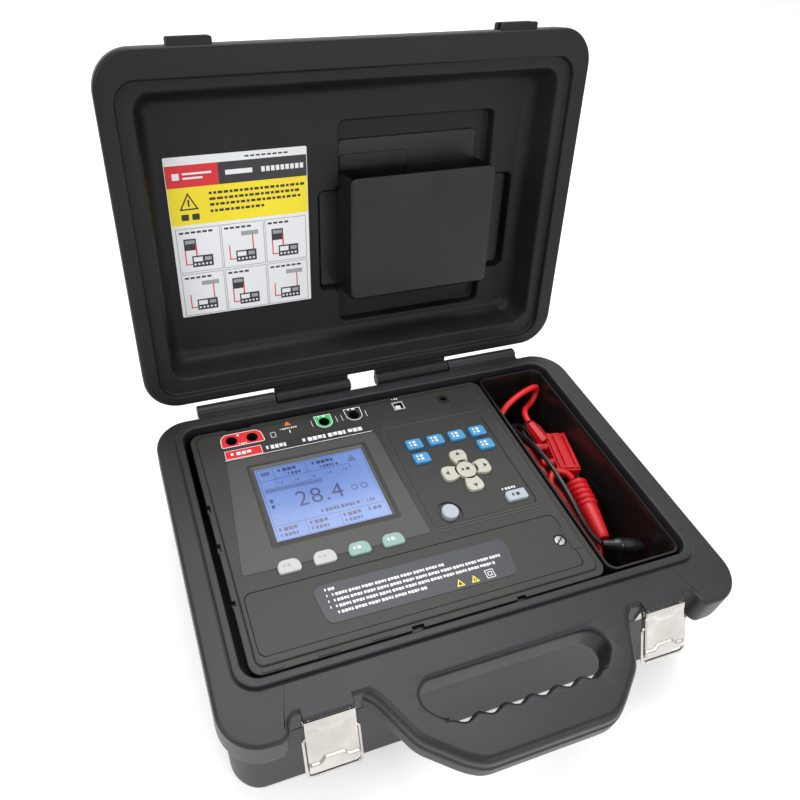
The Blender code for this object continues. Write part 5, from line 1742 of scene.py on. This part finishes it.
# %% Battery cover and its screw
cover = Shape(PANEL)
cover_plan = rounded_rect(-175, 100, -91, -39, 6, 8)
cover.loft([(cover_plan, TOP - 2.9), (cover_plan, TOP - 0.5),
            (shrunk(cover_plan, 0.2), TOP - 0.1), (shrunk(cover_plan, 0.6), TOP)])
cover_piece = cover.build("battery_door")
cut(cover_piece, (circle(*SCREW_PLACE, 5.2, 40), TOP - 2.0),
    (circle(*SCREW_PLACE, 5.8, 40), TOP + 1))
finished(cover_piece, "case", "panel_plastic", "battery_cover", sharp=30)
screw = Shape(STEEL)
screw.loft([(circle(*SCREW_PLACE, r, 40), TOP + z) for r, z in
            ((4.6, -1.8), (4.6, -0.5), (4.3, -0.1), (3.6, 0.15))])
screw_piece = screw.build("coin_slot_screw")
slot_plan = turned_by(block(-6, 6, -SLOT_HALF, SLOT_HALF), *SCREW_PLACE, SCREW_TURN)
cut(screw_piece, (slot_plan, TOP - 1.6), (slot_plan, TOP + 1))
finished(screw_piece, "case", "steel", "cover_screw", sharp=30)

# %% [markdown]
# ### Notes film
#
# A thin bluish film with a few lines of notes is stuck on the cover. It is cut by hand,
# so its corners are listed one by one and nothing about it is quite square.

# %% Notes film
notes = Shape(NOTE_FILM, PRINT_WHITE, PRINT_YELLOW, PRINT_DARK)
film = rounded([(-116.0, -81.0), (38.0, -83.0), (42.0, -79.0), (45.5, -55.0),
                (41.0, -49.2), (-118.0, -48.4), (-123.0, -54.0), (-120.0, -77.0)], 2.0, 4)
notes.loft([(film, TOP + 0.3), (film, TOP + 0.45)])
notes_z = TOP + 0.5
lines = [(-114.0, -104.0, -54.4, 2.9, 0.8), (-109.5, -34.0, -74.8, 2.75, 0.8)]
for y, x1 in ((-59.6, -12.0), (-64.6, 37.0), (-69.6, 28.0)):
    lines += [(-114.0, -111.8, y, 2.9, 0.5), (-109.5, x1, y, 2.75, 0.8)]
for x0, x1, y, pitch, fill in lines:
    notes.bars(x0, x1, y, 2.4, notes_z, 1, pitch, fill)
for x in (-12.0, 1.0):
    notes.flat([(x, -80.2), (x + 7.0, -80.2), (x + 3.5, -74.0)], notes_z, 2)
    notes.flat([(x + 1.4, -79.4), (x + 5.6, -79.4), (x + 3.5, -75.7)], notes_z + 0.04,
               0 if x > 0 else 3)
    if x > 0:
        notes.flat([(x + 2.8, -78.9), (x + 4.2, -78.9), (x + 3.5, -77.2)], notes_z + 0.08, 2)
for inset in (0.0, 1.9):
    notes.frame(block(15.0 + inset, 22.6 - inset, -80.2 + inset, -72.8 - inset), 0.6,
                notes_z, 1)
finished(notes.build("notes_film", recalc=False), "case", "notes_film", "notes_label")

# %% [markdown]
# ### Display
#
# The display shows a reading in large figures, a slanted bar scale above it and a few
# small fields round them, in dark blue on lit blue. The fields are frames, rules and
# lines of print. The figures are real text, because digits drawn by hand never look
# right: a font curve is made a mesh and laid in with the rest.

# %% Display ground and rules
screen = Shape(LCD, LCD_INK)
screen_z = TOP - 1.35
screen_plan = rounded_rect(-136.4, -34.2, -0.2, 78.2, 0.6, 2)
screen.loft([(screen_plan, screen_z - 0.3), (screen_plan, screen_z)])
ink = screen_z + 0.03
screen.frame(block(-134.8, -35.8, 1.2, 76.8), 0.35, ink, 1)
screen.frame(block(-132, -124, 70, 74), 0.5, ink, 1)
for x in (-46.5, -55.5):
    screen.frame(circle(x, 37.0, 3.2 if x > -50 else 3.0, 24), 0.8, ink, 1)
rules = [(-134.5, -51.5, 64.0, 64.4), (-90.5, -90.1, 64.4, 76.6), (-120.5, -120.1, 58.0, 76.6),
         (-51.5, -51.1, 59.0, 64.2), (-134.5, -36.2, 15.2, 15.6), (-108.0, -107.6, 1.5, 15.2),
         (-78.0, -77.6, 1.5, 15.2), (-133.6, -79.6, 55.0, 55.35), (-133.6, -79.6, 50.6, 50.95)]
rules += [(x, x + 0.35, 55.4, 57.4) for x in range(-121, -46, 15)]
rules += [(x, x + 1.6, 70.9, 73.1) for x in (-131.0, -128.8, -126.6)]
for box in rules:
    screen.flat(block(*box), ink, 1)
print(len(rules), "rules and blocks on the display")

# %% Bar scale and small fields
SCALE_BARS, SCALE_PITCH = 34, 1.55
for i in range(SCALE_BARS):
    x = -133.0 + i * SCALE_PITCH
    screen.flat([(x, 51.4), (x + 0.8, 51.4), (x + 1.7, 54.2), (x + 0.9, 54.2)], ink, 1)
for k, (size, slot) in enumerate(((7.4, 1), (5.0, 0), (2.0, 1))):
    foot = 66.4 + k * 0.9
    screen.flat([(-47.0 - size / 2, foot), (-47.0 + size / 2, foot),
                 (-47.0, foot + size * 0.95)], ink + 0.03 * k, slot)
fields = [(-116.0, -96.0, 71.0, 3.6, 4.4, 0.8), (-108.0, -94.0, 65.8, 3.0, 3.2, 0.7),
          (-84.0, -62.0, 71.0, 3.6, 4.4, 0.8), (-78.0, -60.0, 65.8, 2.6, 3.0, 0.7),
          (-92.0, -54.0, 18.6, 3.4, 3.6, 0.8), (-50.0, -42.0, 18.8, 3.0, 2.6, 0.7),
          (-52.0, -39.0, 9.4, 3.4, 4.2, 0.8)]
fields += [(x, x + 5.5, 58.0, 1.8, 2.0, 0.7) for x in (-118.5, -103.5, -88.5, -73.5, -58.5)]
fields += [(-131.5, -121.0, y, 4.4, 5.4, 0.82) for y in (39.0, 33.0)]
fields += [(x, x + 3.5, 35.6, 1.0, 3.0, 0.7) for x in (-129.5, -125.3)]
for x in (-132.0, -105.0, -75.0):
    fields += [(x, x + 20.0, 9.4, 3.6, 4.2, 0.8), (x, x + 17.0, 3.8, 3.2, 3.4, 0.75)]
for x0, x1, y, height, pitch, fill in fields:
    screen.bars(x0, x1, y, height, ink, 1, pitch, fill)
print(SCALE_BARS, "scale bars,", len(fields), "small fields")

# %% The reading
reading = bpy.data.curves.new("reading", "FONT")
reading.body = "28.4"
reading.size = 23.0 * MM
reading.space_character = 1.12
reading.offset = -0.0001
reading_object = linked("reading", reading)
bpy.context.view_layer.update()
digits = bpy.data.meshes.new_from_object(reading_object)
bpy.data.objects.remove(reading_object, do_unlink=True)
digits.transform(Matrix.Translation(Vector((-109.5, 30.0, ink)) * MM))
screen.add(digits, 1)
finished(screen.build("display_screen", recalc=False), "case", "display_clear",
         "display_window")

# %% [markdown]
# ### Keys
#
# Each key is a soft cap that stands 2.6 mm proud and travels on its own. The cap is its
# outline with a quarter round at the top, which a Bevel would also give, but the ring
# list keeps the side straight inside the panel. The legends are lines of print, and the
# arrow keys carry a small triangle that is turned with the key.

# %% Keys
PROUD = TOP + 2.6
MARK_Z = PROUD - 0.17
LEGENDS = {
    "blue": ((-4.8, 4.4, 0.5, 2.5, 3.4, 0.82), (-4.8, 4.4, -3.1, 2.5, 3.4, 0.82)),
    "function": ((-4.8, 4.8, -1.0, 2.6, 3.4, 0.8),),
    "test": ((-4.4, 4.8, -1.6, 3.2, 4.0, 0.85),),
    "ok": ((-4.6, 4.6, -1.4, 3.2, 4.2, 0.85),),
}


def marks_on(kind, material):
    """The ink of a key's legend."""
    if material is KEY_WHITE:
        return PRINT_GREY
    return PRINT_WHITE if kind in ("blue", "function") else PRINT_DARK


for name, kind, x, y, material, finish_name in KEYS:
    key = Shape(material, marks_on(kind, material))
    plan = key_plan(kind, x, y)
    rings = [(plan, TOP - 7.0), (plan, PROUD - 1.3)]
    rings += [(shrunk(plan, i), z) for i, z in arc(1.1, PROUD - 1.3, 1.1, 15, 90, 5)]
    key.loft(rings)
    for x0, x1, foot, height, pitch, fill in LEGENDS.get(kind, ()):
        key.bars(x + x0, x + x1, y + foot, height, MARK_Z, 1, pitch, fill)
    if kind == "arrow":
        key.flat(turned_by([(-2.4, 0.2), (2.4, 0.2), (0, 4.0)], *pad_place(x), x), MARK_Z, 1)
    finished(key.build(f"{name}_cap", recalc=False), f"{name}_body", finish_name, name,
             sharp=50)

# %% [markdown]
# ## Accessory bin
#
# The bin at the right is a thin vacuum-formed liner with drafted walls. It could be one
# sheet with Solidify, but its lip is wider than its wall, so an outer and an inner loft
# meet at the lip instead.

# %% Accessory bin
BIN_BOX = (116.2, 188.5, -103.0, 134.0)


def bin_ring(inset, radius=9.0):
    x0, x1, y0, y1 = BIN_BOX
    return rounded_rect(x0 + min(inset, 2.0), x1 - inset, y0 + inset, y1 - inset,
                        max(2.5, radius - inset * 0.5), 10)


OUTER_WALL = ((4.0, 8.0), (3.0, 9.0), (1.2, 100.6), (0.2, 101.4), (0.0, 102.2),
              (0.0, 104.5), (0.4, 105.0))
INNER_WALL = ((9.0, 10.0), (6.4, 11.0), (5.0, 14.0), (3.4, 100.0), (2.4, 104.2),
              (2.0, 105.0))
tray = Shape(BIN)
_, tray_outer = tray.loft([(bin_ring(inset), z) for inset, z in OUTER_WALL], top=False)
_, tray_mouth = tray.loft([(bin_ring(inset), z) for inset, z in INNER_WALL], top=False)
tray.fill_between(tray_outer, tray_mouth)
finished(tray.build("bin_tray"), "case", "black_plastic", "accessory_bin", sharp=45)

# %% [markdown]
# ## Data port and charger jack
#
# The shells of both are plain nodes of the model. Two small parts make them read as
# what they are: the white tongue in the data port, which is a low pad, and the thin pin
# of the jack, which is one more round bar.

# %% Data port tongue and charger pin
port = Shape(PRINT_WHITE)
port.pad(rounded_rect(18.2, 23.8, 117.3, 121.9, 0.6, 3), TOP - 12.0, TOP - 2.0, 0.4)
finished(port.build("usb_tongue"), "case", "key_white")
pin = Shape(STEEL)
pin.bar([(*CHARGER_PLACE, TOP + z) for z in (-10.0, -2.6, -2.1)], [0.9, 0.9, 0.5], 20)
finished(pin.build("charger_pin"), "case", "steel")

# %% [markdown]
# ## Parts shown as they were modelled
#
# Pins, brackets, sockets and everything inside the tester keep the model's own meshes,
# because their shape is already right. They only need a finish, so the cell below goes
# through the nodes that are still shown and puts one on each.

# %% Materials of the nodes that stay
KEPT = {
    "instrument_housing": BLACK, "circuit_board": BOARD, "battery_pack": WRAP,
    "high_voltage_transformer": POTTING, "display_module": LCD_INK,
    "hinge_pin_left": STEEL, "hinge_pin_right": STEEL, "latch_bracket_left": NICKEL,
    "latch_bracket_right": NICKEL, "usb_socket": STEEL, "charger_jack": BLACK,
    "line_socket_left": BLACK, "line_socket_right": BLACK, "guard_socket": BLACK,
    "earth_socket": BLACK,
}
shown = [name for name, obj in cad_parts.items() if not obj.hide_render]
for name in shown:
    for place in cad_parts[name].material_slots:
        place.material = KEPT[name]
print(len(shown), "nodes keep their own mesh:", ", ".join(shown))

# %% [markdown]
# ## Floor and light
#
# The tester stands on a pale studio floor. A large floor with a little glow of its own
# stays even and nearly white, which a bare plane under area lights would not. Four soft
# rectangles light the case: a broad one overhead, one from the left, one from behind
# for the edges of the lid, and a low one in front that lifts the latches and the handle
# out of the dark.

# %% Floor
FLOOR_REACH = 4000
FLOOR = finish("studio_floor", (0.86, 0.86, 0.86), (0.88, 0.88, 0.88), 0.7, 0.05, 60.0, 1e-6,
               2.0, glow=0.4)
floor = Shape(FLOOR)
floor.flat(block(-FLOOR_REACH, FLOOR_REACH, -FLOOR_REACH, FLOOR_REACH), -0.2)
floor.build("floor")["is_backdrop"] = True
print("floor", 2 * FLOOR_REACH * MM, "m wide")

# %% Sky and lights
SKY_STRENGTH = 0.6
world = bpy.data.worlds.new("studio")
world.use_nodes = True
sky = world.node_tree.nodes["Background"]
sky.inputs["Color"].default_value = (1.0, 1.0, 1.0, 1.0)
sky.inputs["Strength"].default_value = SKY_STRENGTH
bpy.context.scene.world = world


def soft_light(name, place, target, power, width, height):
    """A rectangle of light aimed at a target; places are in metres, power in watts."""
    data = bpy.data.lights.new(name, "AREA")
    data.shape = "RECTANGLE"
    data.energy = power
    data.size, data.size_y = width, height
    made = linked(name, data)
    made.location = place
    aim = Vector(target) - Vector(place)
    made.rotation_euler = aim.to_track_quat("-Z", "Y").to_euler()
    print(name, power, "W from", round(aim.length, 2), "m")


soft_light("top_light", (0.2, 0.5, 1.5), (0.2, 0.45, 0.1), 17.0, 1.2, 1.1)
soft_light("left_light", (-1.1, -0.3, 1.2), (0.0, 0.0, 0.1), 7.0, 0.8, 0.8)
soft_light("back_light", (0.5, 1.6, 1.3), (0.0, 0.0, 0.1), 9.0, 1.4, 0.8)
soft_light("front_light", (0.6, -1.6, 0.9), (0.0, 0.0, 0.05), 7.0, 1.2, 0.8)
bpy.context.scene.view_settings.view_transform = "Standard"

# %% [markdown]
# ## Size and finish
#
# The box of the dressed model is set beside the plain one, and the cell below prints
# how far its far corner stands beyond the model's, in millimetres. The dressed model
# must be no larger than the plain one.

# %% Finish
VISUAL_BOX = [list(corner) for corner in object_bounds()]
beyond = [round((mine - given) / MM, 2) for mine, given in zip(VISUAL_BOX[1], CAD_BOX[1])]
print("far corner beyond the model's, in mm:", beyond)
